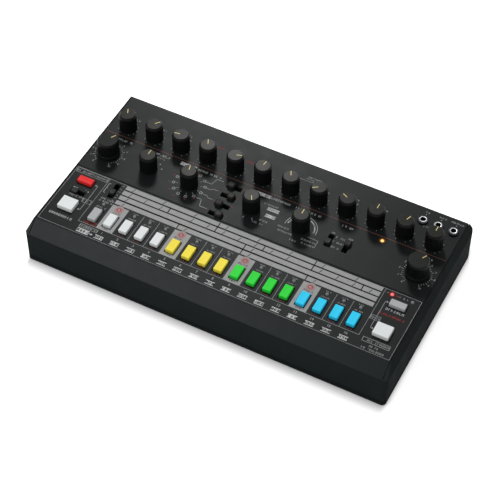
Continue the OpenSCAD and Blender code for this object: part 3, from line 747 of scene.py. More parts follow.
class DRUM_OT_stage(Operator):
    """Lay the floor, set the lamps and place the camera"""

    bl_idname = "drum.stage"
    bl_label = "Stage"

    def execute(self, context):
        s = context.scene.drum_stage
        scene = context.scene
        scene.view_settings.view_transform = "Standard"
        bm = bmesh.new()
        loft(bm, [round_outline(0, 0, FLOOR_SIZE, FLOOR_SIZE, FLOOR_CORNER, z) for z in (-FLOOR_DEPTH, 0)])
        floor = bpy.data.objects.new("floor", mesh_from("floor", bm))
        material, tree, shader = bare_material("floor_paper", s.floor, 0.9, 0.1)
        # The glow is lower close to the case, a painted shadow round its foot
        glow = maths(tree, "MULTIPLY", seen_white(tree), away_from_case(tree, s.near, s.glow))
        feed(tree, shader, {"Emission Color": (1, 1, 1, 1), "Emission Strength": glow})
        tinted(tree, shader, s.floor, 0.006, FLOOR_PATCH)
        floor.data.materials.append(material)
        scene.collection.objects.link(floor)
        floor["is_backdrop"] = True

        scene.world = scene.world or bpy.data.worlds.new("sky")
        scene.world.use_nodes = True
        sky = scene.world.node_tree
        seen = add(sky, "ShaderNodeLightPath").outputs["Is Camera Ray"]
        strength = out(sky, "ShaderNodeMapRange", {"Value": seen, "To Min": s.sky, "To Max": 1.0})
        feed(sky, sky.nodes["Background"], {"Color": (1, 1, 1, 1), "Strength": strength})
        lamp("key_lamp", KEY_PLACE, KEY_SIZE, s.key)
        lamp("fill_lamp", FILL_PLACE, FILL_SIZE, s.fill)

        data = bpy.data.cameras.new("camera")
        put(data, lens=s.lens, sensor_width=36, clip_start=0.05, clip_end=50)
        camera = bpy.data.objects.new("camera", data)
        turn = Matrix((EYE_RIGHT, EYE_UP, EYE_BACK)).transposed().to_4x4()
        camera.matrix_world = Matrix.Translation(EYE) @ turn
        scene.collection.objects.link(camera)
        scene.camera = camera
        return {"FINISHED"}


# ---------- case ----------


def tint(colour, *factors):
    """A colour with each of its parts made stronger or weaker."""
    return [part * factor for part, factor in zip(colour, factors)]


class DRUM_OT_case(Operator):
    """Make both halves of the case and the rubber feet"""

    bl_idname = "drum.case"
    bl_label = "Case"

    def execute(self, context):
        s = context.scene.drum_case
        plastic = moulded("case_plastic", s.colour, s.roughness)
        # The walls and the sloped strip are copies of the case plastic, the walls lighter and the strip
        # cooler in colour: painted light for how the lamps fall on them
        walls = moulded("wall_plastic", tint(s.colour, 1.5, 1.5, 1.5), s.walls)
        strip = moulded("strip_plastic", tint(s.colour, 0.92, 1.04, 1.1), s.roughness - 0.03)
        tray = moulded("tray_plastic", tint(s.colour, 1.05, 1.05, 1.05), s.walls)
        top = softened(merged_copy("top_case"), "case_top", s.edge)
        # Upright faces are walls, and those that lean back at the front are the sloped strip, each with its
        # copy of the plastic whose colour is painted light
        for face in top.polygons:
            up = face.normal.z
            leans = face.normal.y < -0.3 and 0.5 < up < 0.95 and face.center.y < -0.06
            face.material_index = 1 if abs(up) < 0.5 else 2 if leans else 0
        piece("case_top", top, [plastic, walls, strip], "top_case", 0)
        rounded_piece("case_bottom", "bottom_case", tray, s.edge)
        rubber = moulded("foot_rubber", (0.018, 0.018, 0.018), 0.8)
        rounded_piece("feet", "rubber_feet", rubber, 0.3 * MM, 3)
        return {"FINISHED"}


# ---------- printed marks ----------


# How deep the ink starts under the deck's face, and a figure's height as a share of its font's size
INK_SINK = 0.01
CAPTION_SINK = 0.02
FIGURE_SHARE = 0.7
# The grey tiles round the first key of each colour, with the openings for the key and its light
TILE_HALF, TILE_FIRST, TILE_LAST = 7.05, 109.6, 136.0
KEY_OPENING = (8.0, 13.5)
LIGHT_ROW, LIGHT_OPENING = 112.8, 1.7


def from_spot(spot, radius, degrees):
    """A spot at a distance from another on the deck, turned anticlockwise from its right."""
    return around(*spot, radius, -math.radians(degrees))


class Print:
    """The flat printed marks of one ink, gathered as thin forms, in places across and rows."""

    def __init__(self, lift):
        self.bm = bmesh.new()
        self.low = DECK - INK_SINK
        self.high = DECK + lift

    def fill(self, points):
        flat = [at(*p) for p in points]
        area = sum(a[0] * b[1] - b[0] * a[1] for a, b in zip(flat, flat[1:] + flat[:1]))
        if area < 0:
            flat.reverse()
        loft(self.bm, [[Vector((x, y, z)) * MM for x, y in flat] for z in (self.low, self.high)])

    def box(self, x0, row0, x1, row1):
        self.fill([(x0, row0), (x1, row0), (x1, row1), (x0, row1)])

    def bar(self, start, end, width):
        a, b = Vector(start), Vector(end)
        side = (b - a).normalized().orthogonal() * width / 2
        self.fill([a + side, b + side, b - side, a - side])

    def line(self, points, width):
        for a, b in zip(points, points[1:]):
            reach = (Vector(b) - Vector(a)).normalized() * width / 2
            self.bar(Vector(a) - reach, Vector(b) + reach, width)

    def outline(self, x0, row0, x1, row1, width):
        self.box(x0, row0, x1, row0 + width)
        self.box(x0, row1 - width, x1, row1)
        self.box(x0, row0 + width, x0 + width, row1 - width)
        self.box(x1 - width, row0 + width, x1, row1 - width)

    def frame(self, spot, half_x, half_row, width):
        self.outline(spot[0] - half_x, spot[1] - half_row, spot[0] + half_x, spot[1] + half_row, width)

    def dot(self, x, row, radius, sides=12):
        self.fill([around(x, row, radius, TAU * k / sides) for k in range(sides)])

    def arc(self, spot, radius, start, end, width, steps=24):
        turns = [start + (end - start) * k / steps for k in range(steps + 1)]
        outer = [from_spot(spot, radius + width / 2, a) for a in turns]
        inner = [from_spot(spot, radius - width / 2, a) for a in turns]
        for k in range(steps):
            self.fill([outer[k], outer[k + 1], inner[k + 1], inner[k]])

    def triangle(self, x, row, reach, side):
        self.fill([(x, row - side), (x + reach, row), (x, row + side)])

    def number(self, text, x, row, height):
        data = bpy.data.curves.new("number", "FONT")
        put(data, body=text, size=height * MM / FIGURE_SHARE, resolution_u=3)
        put(data, align_x="CENTER", align_y="CENTER", extrude=(self.high - self.low) * MM / 2)
        mesh = baked(data)
        mesh.transform(Matrix.Translation(Vector((*at(x, row), (self.high + self.low) / 2)) * MM))
        self.bm.from_mesh(mesh)


def tile_mesh(tiles, lift):
    """Grey tiles with the openings of their key and light left out."""
    bm = bmesh.new()
    for outlines in tiles:
        data = bpy.data.curves.new("tile", "CURVE")
        put(data, dimensions="2D", fill_mode="BOTH", extrude=(lift + INK_SINK) * MM / 2)
        for outline in outlines:
            spline = data.splines.new("POLY")
            spline.points.add(len(outline) - 1)
            for point, (x, y) in zip(spline.points, outline):
                point.co = (x * MM, y * MM, 0, 1)
            spline.use_cyclic_u = True
        mesh = baked(data)
        mesh.transform(Matrix.Translation((0, 0, DECK_Z + (lift - INK_SINK) * MM / 2)))
        bm.from_mesh(mesh)
    bmesh.ops.remove_doubles(bm, verts=bm.verts, dist=WELD)
    return mesh_from("print_tiles", bm)


def flat_spots(ring):
    """A ring seen from above, in millimetres."""
    return [(p.x / MM, p.y / MM) for p in ring]


def points_mesh(spots, lift, paired=False):
    """Loose points over some spots, joined in pairs for the caption tree."""
    mesh = bpy.data.meshes.new("points")
    places = [Vector((*spot, 0)) * MM + Vector((0, 0, DECK_Z + lift * MM)) for spot in spots]
    edges = [(k, k + 1) for k in range(0, len(places), 2)] if paired else []
    mesh.from_pydata(places, edges, [])
    return mesh


def grid_x(k):
    """The line between two steps, counted from the left of the first."""
    return STEP_XS[0] + (k - 0.5) * (STEP_XS[-1] - STEP_XS[0]) / 15


def white_marks(white):
    """The boxes behind dark captions and the arc round the variation knob."""
    for x in STEP_XS:
        white.box(x - 3.65, 142.0, x + 3.65, 145.7)
    white.box(-114.4, 141.8, -104.2, 145.9)
    white.line([(-104.2, 143.9), (-102.4, 143.9)], 0.4)
    white.triangle(-102.6, 143.9, 2.0, 1.1)
    boxes = [(4.7, 56.3, 14.7, 59.4), (6.3, 63.1, 14.8, 66.2)]
    for box in boxes + [(-77.5, 45.2, -63.6, 48.4), (-12, 45.2, 2.2, 48.4)]:
        white.box(*box)
    spot = spot_of("variation_knob")
    for start, end in ((-5, 80), (152, 185)):
        white.arc(spot, 12.9, start, end, 0.35)
        white.arc(spot, 10.9, start + 4, end - 6, 0.9)
    for a in (5, 40, 72, 165):
        white.dot(*from_spot(spot, 10.9, a), 0.85)


def pale_lines(pale):
    """The frames, rules and brackets, and the boxes round pale captions."""
    pale.outline(-147.3, 87.5, 147.5, 147.25, 0.22)
    rules = [(-118.0, 87.7, -117.75, 136.3), (118.5, 87.7, 118.75, 136.3), (-117.75, 136.05, 118.5, 136.3)]
    rules += [(grid_x(k) - 0.13, 109.6, grid_x(k) + 0.13, 135.9) for k in (2, 3, 6, 7, 10, 11, 14, 15)]
    for rule in rules:
        pale.box(*rule)
    for frame_box in (
        (-114.7, 137.7, -99.0, 140.9, 0.25),
        (-146.4, 87.9, -118.6, 92.4, 0.25),
        (-126.0, 114.5, -118.4, 118.5, 0.25),
        (118.9, 114.5, 126.7, 118.7, 0.25),
        (122.2, 135.7, 143.9, 139.7, 0.3),
    ):
        pale.outline(*frame_box)
    for x, side in ((-122.5, -1), (123.1, 1)):
        pale.line([(x + side * 1.2, 99), (x, 99), (x, 126.2), (x + side * 1.2, 126.2)], 0.3)
        for row in (99, 126.2):
            pale.triangle(x + side * 1.0, row, side * 1.6, 0.9)
    for path in (
        [(45.2, 69.8), (53.9, 69.8), (53.9, 73.4), (50.2, 73.4)],
        [(53.9, 73.4), (53.9, 77)],
        [(13, 17.8), (24, 17.8)],
        [(24.2, 17.8), (24.2, 15.6), (17.8, 15.6)],
    ):
        pale.line(path, 0.3)


def pale_marks(pale):
    """The selector's squares with the lines that lead to the slides, and single small marks."""
    for row in (91.8, 96.8, 101.8):
        pale.box(-116.0, row - 0.2, -114.6, row + 0.2)
    pale.box(-116.2, 91.6, -115.8, 102.0)
    for k, row in enumerate((89.8, 93.0, 96.4, 99.6, 103.0, 106.0)):
        pale.line([(-105.4, row), (-104.0, row + (0.9 if k % 2 else -0.4))], 0.3)
    pale.bar((120.8, 91.3), (121.6, 90.2), 0.35)
    dots = [(137.1, 90.8, 0.35), (-138.6, 107.6, 0.55), (-126.2, 107.6, 0.55)]
    for dot in dots + [(x, 7.0, 0.4) for x in JACK_XS]:
        pale.dot(*dot)
    for k in range(12):
        pale.frame(from_spot(spot_of("voice_knob"), 12.6, 15 + 30 * k), 1.15, 1.15, 0.42)
    for path in (
        [(-50.8, 55.7), (-45.3, 55.7), (-43.6, 49), (-38, 49)],
        [(-47.5, 61.2), (-43, 61.2), (-41.4, 59.6), (-37.5, 59.6)],
        [(-46.4, 67.9), (-43, 67.9), (-40.8, 69.6), (-36.4, 69.6)],
        [(-49.2, 73.4), (-44.7, 73.4), (-43, 80.1), (-36.4, 80.1)],
    ):
        pale.line(path, 0.35)
    for a in (-60, -100):
        pale.bar(*(from_spot(spot_of("mode_knob"), radius, a) for radius in (9, 11.5)), 0.4)
    for a in (55, 25):
        pale.dot(*from_spot(spot_of("decay_knob"), 10.2, a), 0.6)


def pale_numbers(pale):
    """The step numbers and the numbers round the large knobs."""
    for i, x in enumerate(STEP_XS):
        pale.number(str(i + 1), x, 139.1, 2.2)
    for node in LARGE_KNOBS:
        for k in range(11):
            pale.number(str(k), *from_spot(spot_of(node), 14.2, 240 - 30 * k), 1.7)


def red_marks(red, dim):
    """The red marks of the selector and the lines under the accent key and by the red light."""
    reaches = {165: 15.6, 195: 16.2, 225: 16.2, 250: 16.4, 285: 15.4, 312: 15.2, 45: 15.0, 75: 14.6}
    for a, reach in reaches.items():
        x, row = from_spot(spot_of("voice_knob"), reach, a)
        dim.bar((x - 0.9, row), (x + 0.9, row), 0.5)
    red.line([(-113, 133.0), (-103.6, 133.0)], 0.6)
    red.line([(128.4, 90.8), (129.8, 90.8)], 0.5)


# Where the grey bars end on the right, then each bar: where it starts and ends counted from the back
# edge, the steps after which it breaks and the steps that have a tick
BARS_END = 116.7
BARS = (
    (87.5, 92.0, (6, 12), range(0, 16, 2)),
    (92.9, 97.6, (3, 6, 9, 12, 15), [i for i in range(16) if i not in (3, 11)]),
    (98.4, 102.9, (8,), (0, 8)),
    (104.0, 108.2, (4, 8, 12), (0, 4, 8, 12)),
)


def dark_marks(dark):
    """The rules between the grey bars with their ticks, and dark frames round the keys' openings that paint
    the shade of the gap round each key.
    """
    for (_, low, _, _), (high, _, _, _) in zip(BARS, BARS[1:]):
        dark.box(grid_x(0), low - 0.14, BARS_END, high + 0.14)
    # Painted shade: a dark frame on the deck round each key, for the gap round it
    for node in [*STEPS, "accent_button"]:
        dark.frame(spot_of(node), 4.25, 7.0, 0.42)
    for node in ("clear_button", "fill_button"):
        dark.frame(spot_of(node), 7.25, 3.8, 0.42)
    for k, (row0, row1, _, ticked) in enumerate(BARS):
        for i in ticked:
            x = STEP_XS[i]
            dark.line([(x - 0.6, row1 - 0.6), (x + 0.5, row0 + (1.1 if k else 0.9))], 0.5)


def grey_bars(grey):
    """The four rows of grey bars with their breaks."""
    for row0, row1, breaks, _ in BARS:
        edges = [grid_x(0), *[grid_x(k) for k in breaks], BARS_END]
        for i, (a, b) in enumerate(zip(edges, edges[1:])):
            grey.box(a + (0.45 if i else 0), row0, b - (0.45 if i < len(edges) - 2 else 0), row1)


def rows_at(xs, left, right, row):
    """Caption rows that reach to the left and right of some places across."""
    return [(x - left, x + right, row) for x in xs]


def captions():
    """Where rows of small printed strokes stand: by ink, then by height, from x to x at a row."""
    pale = {
        1.1: rows_at(OTHER_XS, 1.9, 1.9, 110.6),
        1.2: rows_at(OTHER_XS, 2.9, 2.9, 116.5),
        1.6: [
            (-112.6, -105.4, 116.6), (-114, -104, 107.6), (-114, -104, 110.3), (-138, -126.6, 115.1),
            (130, 135.8, 142.0), (119.2, 123.3, 18.4), (60, 61.6, 56.8), (73.9, 77, 56.8),
            (64.6, 71.5, 59.6), (64.4, 71.8, 64.6), (65.2, 70.2, 69.8), (4.9, 10.7, 71.0), (0.9, 8.2, 74.8),
            (20.2, 28.1, 69.6), (21.8, 32.5, 73.4), (34.1, 38.2, 78.1), (41.5, 48.8, 73.4),
            (43.5, 53.2, 77.0), (131.5, 134.5, 90.8), (1.0, 11.5, 54.0), (115.2, 117.4, 4.5),
            (126.9, 131.5, 4.5), (136.6, 147.0, 4.5), (-96.9, -90.1, 50.3), (17.8, 30.8, 13.6),
            (-137.8, -136.0, 107.6), (-128.4, -126.8, 107.6),
        ],
        1.8: [
            (-145.6, -119.4, 90.2), (-113.9, -99.8, 139.3), (-125.2, -119.2, 116.5), (119.7, 125.9, 116.6),
            (123.4, 142.8, 137.7), (125.0, 141.5, 145.1),
        ],
    }
    # Over the row knobs: a row over some of them and two rows over others
    knobs = [middle(node)[0] for node in ROW_KNOBS]
    for i, half in ((0, 4.2), (1, 4.2), (5, 1.6), (6, 4.2), (7, 4.2), (8, 4.2), (10, 1.6), (11, 1.6)):
        pale[1.6] += rows_at([knobs[i]], half, half, 21.9)
    for i in (2, 8, 9):
        pale[1.6] += rows_at([knobs[i]], 3.2, 3.2, 17.9) + rows_at([knobs[i]], 3.6, 3.6, 22.3)
    white = {
        2.0: [
            (-139, -126.6, 46.8), (-100.8, -87.7, 46.8), (-63.0, -41.6, 46.8), (3.3, 18.2, 46.8),
            (24.6, 45.4, 46.8), (64.2, 72.2, 46.8), (127, 139.8, 46.8),
        ],
        2.2: [(-142, -123.6, 138.0), (126.7, 139.7, 105.1)],
    }
    red = {1.6: [(-60.3, -54.2, 17.9), (-32, -26.4, 21.2), (123.9, 142.4, 110.3), (-113, -103.6, 135.0)]}
    dim = {
        1.3: rows_at(OTHER_XS, 2.0, 2.0, 134.2)
        + [(-21.2, -18.2, row) for row in (49, 59.6, 69.2, 80.1)]
        + [(-38.2, -35.4, row) for row in (59.6, 69.6, 80.1)],
    }
    dark = {
        1.5: rows_at(QUARTER_XS, 3.3, 3.3, 116.6) + rows_at(QUARTER_XS, 1.6, 1.6, 134.2),
        1.9: [(5.3, 14.2, 57.8), (6.9, 14.3, 64.6), (-76.7, -64.2, 46.8), (-11.2, 1.6, 46.8)],
        2.2: [*rows_at(STEP_XS, 2.9, 2.6, 144.0), (-112.7, -105.5, 144.0)],
        2.3: [*rows_at(STEP_XS, 2.6, 2.9, 143.8), (-113.0, -105.8, 143.8)],
        2.4: [*rows_at(STEP_XS, 3.1, 3.1, 143.9), (-113.4, -105.2, 143.9)],
    }
    return {"white": white, "pale": pale, "red": red, "dim": dim, "dark": dark}


# Marks round knobs: ink, knobs, then radius, length, width, first angle, sweep and count
DIALS = (
    ("pale", ROW_KNOBS, 7.9, 0.55, 0.5, -60.0, 300.0, 11),
    ("white", LARGE_KNOBS, 11.6, 2.0, 0.3, -60.0, 300.0, 11),
    ("white", LARGE_KNOBS, 11.1, 1.0, 0.2, -60.0, 300.0, 31),
    ("pale", ["voice_knob"], 9.6, 1.6, 0.3, 15.0, 330.0, 12),
)


class DRUM_OT_print(Operator):
    """Print the marks, numbers and tiles on the deck"""

    bl_idname = "drum.print"
    bl_label = "Printed marks"

    def execute(self, context):
        s = context.scene.drum_print
        lift = s.lift / MM
        colours = {name: getattr(s, name) for name in ("white", "pale", "red", "dim", "grey", "rule")}
        # The dark ink prints captions and ticks, and also the painted shade round the keys
        colours["dark"] = (0.006, 0.0065, 0.0065)
        sheen = {"grey": (0.55,), "dark": (0.8, 0.02)}
        inks = {name: ink(f"ink_{name}", colour, *sheen.get(name, ())) for name, colour in colours.items()}
        lifts = {name: lift + (0.03 if name == "dark" else 0) for name in inks}
        prints = {name: Print(value) for name, value in lifts.items()}
        white_marks(prints["white"])
        pale_lines(prints["pale"])
        pale_marks(prints["pale"])
        pale_numbers(prints["pale"])
        red_marks(prints["red"], prints["dim"])
        prints["rule"].box(-147.0, 42.79, 147.8, 43.01)
        dark_marks(prints["dark"])
        grey_bars(prints["grey"])
        tree = caption_tree()
        for name, heights in captions().items():
            values = {"Thickness": (lifts[name] + CAPTION_SINK) * MM, "Material": inks[name]}
            for k, (height, lines) in enumerate(sorted(heights.items())):
                spots = [at(x, row) for x0, x1, row in lines for x in (x0, x1)]
                values.update({"Height": height * MM, "Seed": s.seed + 7 * k})
                rows = points_mesh(spots, (lifts[name] - CAPTION_SINK) / 2, True)
                prints[name].bm.from_mesh(with_tree(rows, tree, values))
        dials = dial_tree()
        for name, nodes, radius, length, width, first, sweep, count in DIALS:
            values = {"Radius": radius * MM, "Length": length * MM, "Width": width * MM, "Count": count}
            values.update({"First Angle": first, "Sweep": sweep, "Material": inks[name]})
            values["Thickness"] = 2 * (lift - INK_SINK) * MM
            points = points_mesh([middle(node) for node in nodes], INK_SINK)
            prints[name].bm.from_mesh(with_tree(points, dials, values))
        for name, marks in prints.items():
            piece(f"print_{name}", marks.bm, [inks[name]], split=30)
        tiles = []
        for x in QUARTER_XS:
            corners = ((-1, TILE_LAST), (1, TILE_LAST), (1, TILE_FIRST), (-1, TILE_FIRST))
            box = [at(x + side * TILE_HALF, row) for side, row in corners]
            key = round_outline(*at(x, spot_of(STEPS[0])[1]), *KEY_OPENING, 0.9, 0, 4)
            light = circle(*at(x, LIGHT_ROW), LIGHT_OPENING, 0, 24)
            tiles.append((box, flat_spots(key), flat_spots(light)))
        piece("print_tiles", tile_mesh(tiles, lift), [inks["grey"]], split=30)
        return {"FINISHED"}


# ---------- knobs ----------

# The outlines of the knobs as radius, height and grip, then their top's height and pointer's ends
SMALL_KNOB = [
    (2.9, 0.7, 0), (6.6, 0.7, 0), (6.85, 0.78, 0), (7.02, 1.0, 0), (7.05, 1.3, 0.7), (7.05, 1.7, 1),
    (7.05, 4.7, 1), (7.05, 7.7, 1), (7.05, 10.7, 1), (7.05, 12.6, 1), (7.05, 12.95, 0.75), (7.05, 13.2, 0),
    (7.05, 14.1, 0), (7.02, 14.5, 0), (6.9, 14.85, 0), (6.1, 15.85, 0), (5.98, 16.05, 0), (5.92, 16.2, 0),
]
LARGE_KNOB = [
    (2.9, 0.7, 0), (8.9, 0.7, 0), (9.1, 0.85, 0), (9.18, 1.1, 0), (9.18, 2.3, 0), (9.1, 2.6, 0),
    (8.75, 2.95, 0), (8.5, 3.1, 0), (8.5, 3.3, 0.7), (8.5, 3.6, 1), (8.5, 6.5, 1), (8.5, 9.3, 1),
    (8.5, 12.2, 1), (8.5, 12.6, 0.75), (8.5, 12.9, 0), (8.5, 13.9, 0), (8.46, 14.3, 0), (8.36, 14.65, 0),
    (7.95, 15.6, 0), (7.86, 15.85, 0), (7.8, 16.0, 0),
]
SMALL_TOP, SMALL_POINTER = 16.4, (0.8, 5.3)
LARGE_TOP, LARGE_POINTER = 16.2, (3.2, 7.4)
SHAFT_FOOT = BOARD + 2.0
SIDE, TOP, POINTER, SHAFT, SHOULDER = range(5)


def finished_knob(node, profile, top_height, pointer, flutes, s, paints, slot, tree):
    """One knob with its shaft in its place, turned so that its pointer stands at its clock angle."""
    bm = bmesh.new()
    grip = bm.verts.layers.float.new("grip")
    rows = turned(bm, 0, 0, [(r, DECK + z) for r, z, _ in profile], SIDE, flutes * 8)
    for ring, (_, _, value) in zip(rows, profile):
        for vert in ring:
            vert[grip] = value
    values = {"Count": flutes, "Depth": s.flute_depth, "Material": paints[0]}
    barrel = with_tree(mesh_from(node, bm), tree, values)
    bm = bmesh.new()
    bm.from_mesh(barrel)
    rim = profile[-1][0]
    # The slope round the top takes the shoulder plastic, lighter than the sides by painted light
    for face in bm.faces:
        spot = face.calc_center_median() / MM
        shoulder = spot.z > DECK + profile[-5][1] and spot.xy.length > rim - 0.5
        face.material_index = SHOULDER if shoulder else SIDE
    top = DECK + top_height
    disc = [(rim - 0.02, top - 0.7), (rim - 0.02, top - 0.16), (rim - 0.08, top - 0.05), (rim - 0.2, top)]
    turned(bm, 0, 0, disc + [(rim - 0.4, top), (rim * 0.6, top), (0.3, top)], TOP, 64)
    half = s.pointer_width / 2 / MM
    corners = ((-half, -0.04), (half, -0.04), (half, 0.04), (-half, 0.04))
    loft(bm, [[Vector((side, end, top + lift)) * MM for side, lift in corners] for end in pointer], POINTER)
    turned(bm, 0, 0, [(2.8, SHAFT_FOOT), (3.0, SHAFT_FOOT + 0.2), (3.0, DECK + 1.2)], SHAFT, 32)
    mesh = mesh_from(node + "_piece", bm)
    joint = next(j for j in frame["joints"] if j["child"] == node)
    # The pointer's clock angle is the middle of the joint's range
    turn = Matrix.Rotation(-math.radians(sum(joint["range_deg"]) / 2), 4, "Z")
    place = Vector((joint["pos_m"][0] / MM, joint["pos_m"][1] / MM, 0)) * MM
    mesh.transform(Matrix.Translation(place) @ turn)
    piece(node + "_piece", mesh, paints, node, 40, node)


class DRUM_OT_knobs(Operator):
    """Make the eighteen knobs with their pointers and shafts"""

    bl_idname = "drum.knobs"
    bl_label = "Knobs"

    def execute(self, context):
        s = context.scene.drum_knob
        side = moulded("knob_side", s.body, 0.38)
        # Shoulders and tops are lighter copies of the knob plastic: painted light on their upward faces
        shoulder = moulded("knob_shoulder", s.shoulder, 0.4)
        small_top = moulded("knob_top", s.top, 0.25)
        large_top = moulded("large_knob_top", s.large, 0.3)
        pointer = ink("pointer_paint", s.pointer, 0.45)
        shaft = metal("shaft_metal", (0.62, 0.62, 0.63), 0.32, (1, 1, 6))
        small = (s.small_flutes, s, [side, small_top, pointer, shaft, shoulder], "knob")
        large = (s.large_flutes, s, [side, large_top, pointer, shaft, shoulder], "large_knob")
        tree = flute_tree()
        for node in ROW_KNOBS + SECOND_KNOBS:
            finished_knob(node, SMALL_KNOB, SMALL_TOP, SMALL_POINTER, *small, tree)
        for node in LARGE_KNOBS:
            finished_knob(node, LARGE_KNOB, LARGE_TOP, LARGE_POINTER, *large, tree)
        return {"FINISHED"}


# ---------- keys ----------

# Width, length and height over the deck of each kind of key, then the deck's thickness, the gap under
# it and the thickness of a key's flange
STEP_KEY = (6.7, 12.2, 2.5)
WIDE_KEY = (12.7, 5.8, 2.5)
SQUARE_KEY = (12.9, 11.4, 2.9)
DECK_WALL, FLANGE_GAP, FLANGE = 2.5, 0.2, 1.2


def finished_key(node, size, material, dish):
    """One key cap with the flange and stem that hold it under the deck."""
    x, y = middle(node)
    w, l, proud = size
    flange = DECK - DECK_WALL - FLANGE_GAP - FLANGE
    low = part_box(node)[0].z / MM
    bm = bmesh.new()
    cap_form(bm, x, y, w, l, flange + 0.6, DECK + proud, 0.45, 0.3, dish / MM)
    cap_form(bm, x, y, w + 2, l + 1.6, flange, flange + FLANGE, 0.6, 0.15)
    turned(bm, x, y, [(1.7, low), (1.9, low + 0.25), (1.9, flange + 0.4)], 0, 24)
    piece(node + "_piece", bm, [material], node, body=node)


class DRUM_OT_keys(Operator):
    """Make the step keys and the wide and square keys"""

    bl_idname = "drum.keys"
    bl_label = "Keys"

    def execute(self, context):
        s = context.scene.drum_key
        names = (*KEY_COLOURS, "red", "grey")
        mats = {name: moulded(f"key_{name}", getattr(s, name), 0.4, KEY_PLASTIC) for name in names}
        keys = [(node, STEP_KEY, KEY_COLOURS[i // 4]) for i, node in enumerate(STEPS)]
        keys += [("accent_button", STEP_KEY, "grey"), ("clear_button", WIDE_KEY, "red")]
        keys += [("fill_button", WIDE_KEY, "grey"), ("start_button", SQUARE_KEY, "white")]
        keys += [("write_button", SQUARE_KEY, "white")]
        for node, size, name in keys:
            finished_key(node, size, mats[name], s.dish)
        return {"FINISHED"}


# ---------- slides ----------


class DRUM_OT_slides(Operator):
    """Make the caps of the eight slide switches"""

    bl_idname = "drum.slides"
    bl_label = "Slide caps"

    def execute(self, context):
        s = context.scene.drum_slide
        plastic = moulded("slide_plastic", s.colour, 0.45)
        for node in VOICES + ["fade_in_switch", "fade_out_switch", "clock_switch", "play_switch"]:
            low, high = (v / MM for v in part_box(node))
            x, y = (low.x + high.x) / 2, (low.y + high.y) / 2
            w, l = high.x - low.x, high.y - low.y
            corner = 2.2 if node in VOICES else 1.0
            round_edge = min(0.6 * corner, high.z - DECK - 0.5)
            stem = (3.6, 2) if w >= l else (2, 3.6)
            bm = bmesh.new()
            cap_form(bm, x, y, w, l, DECK + 0.3, high.z, corner, round_edge, s.dish / MM)
            cap_form(bm, x, y, *stem, low.z, DECK + 0.8, 0.2, 0.15)
            piece(node + "_piece", bm, [plastic], node, body=node)
        return {"FINISHED"}


# ---------- lights ----------


# Where the red and the amber light stand across, the rows that tell them and the tiles' lights apart,
# the height of the lenses' foot and the inner radius of the spilt light
RED_X, AMBER_X = 124.8, 96.8
AMBER_LAST_ROW, TILE_FIRST_ROW = 60, 100
LENS_FOOT = DECK - 5.4
SPILL_INSIDE = 1.62


def light_groups():
    """The middle of every light, from the loose parts of its node, by kind of light."""
    bm = merged_copy("lights")
    spots = set()
    for _, low, high in islands(bm):
        if high.z > DECK_Z:
            spots.add((round((low.x + high.x) / 2 / MM, 2), round((low.y + high.y) / 2 / MM, 2)))
    bm.free()
    lit_xs = [round(x, 1) for x in QUARTER_XS]
    groups = {"tile": [], "red": [], "amber": [], "clear": []}
    for x, y in sorted(spots):
        row = BACK - y
        if round(x, 1) in lit_xs and row > TILE_FIRST_ROW:
            kind = "tile"
        elif abs(x - RED_X) < 1:
            kind = "red"
        else:
            kind = "amber" if abs(x - AMBER_X) < 1 and row < AMBER_LAST_ROW else "clear"
        groups[kind].append((x, y))
    counts = [len(group) for group in groups.values()]
    if counts[:3] != [4, 1, 1] or not counts[3]:
        raise RuntimeError(f"lights not found: {counts}")
    return groups


def light_form(spots):
    """Round lenses on their spacers."""
    bm = bmesh.new()
    foot = LENS_FOOT
    spacer = [(1.8, BOARD), (1.9, BOARD + 0.1), (1.9, foot - 0.1), (1.8, foot)]
    dome = [(1.9, foot + 0.02), (1.9, foot + 1.0), (1.5, foot + 1.05)]
    dome += [around(0, DECK - 0.6, 1.5, math.radians(a)) for a in range(0, 90, 10)]
    for x, y in spots:
        turned(bm, x, y, spacer, 1, 24)
        turned(bm, x, y, dome, 0, 24)
    return bm


def spill_form(spots, outer, low):
    """Flat rings round the lights, with a fade value from one at the light to nothing outside."""
    bm = bmesh.new()
    fade = bm.verts.layers.float.new("fade")
    inner = SPILL_INSIDE
    path = [(inner, low), (outer, low), (outer, low + 0.02)]
    path += [((inner + outer) / 2, low + 0.03), (inner, low + 0.03)]
    for x, y in spots:
        rows = turned(bm, x, y, [(r, DECK + z) for r, z in path], 0, 32, True)
        for ring, (r, _) in zip(rows, path):
            for vert in ring:
                vert[fade] = (outer - r) / (outer - inner)
    return bm


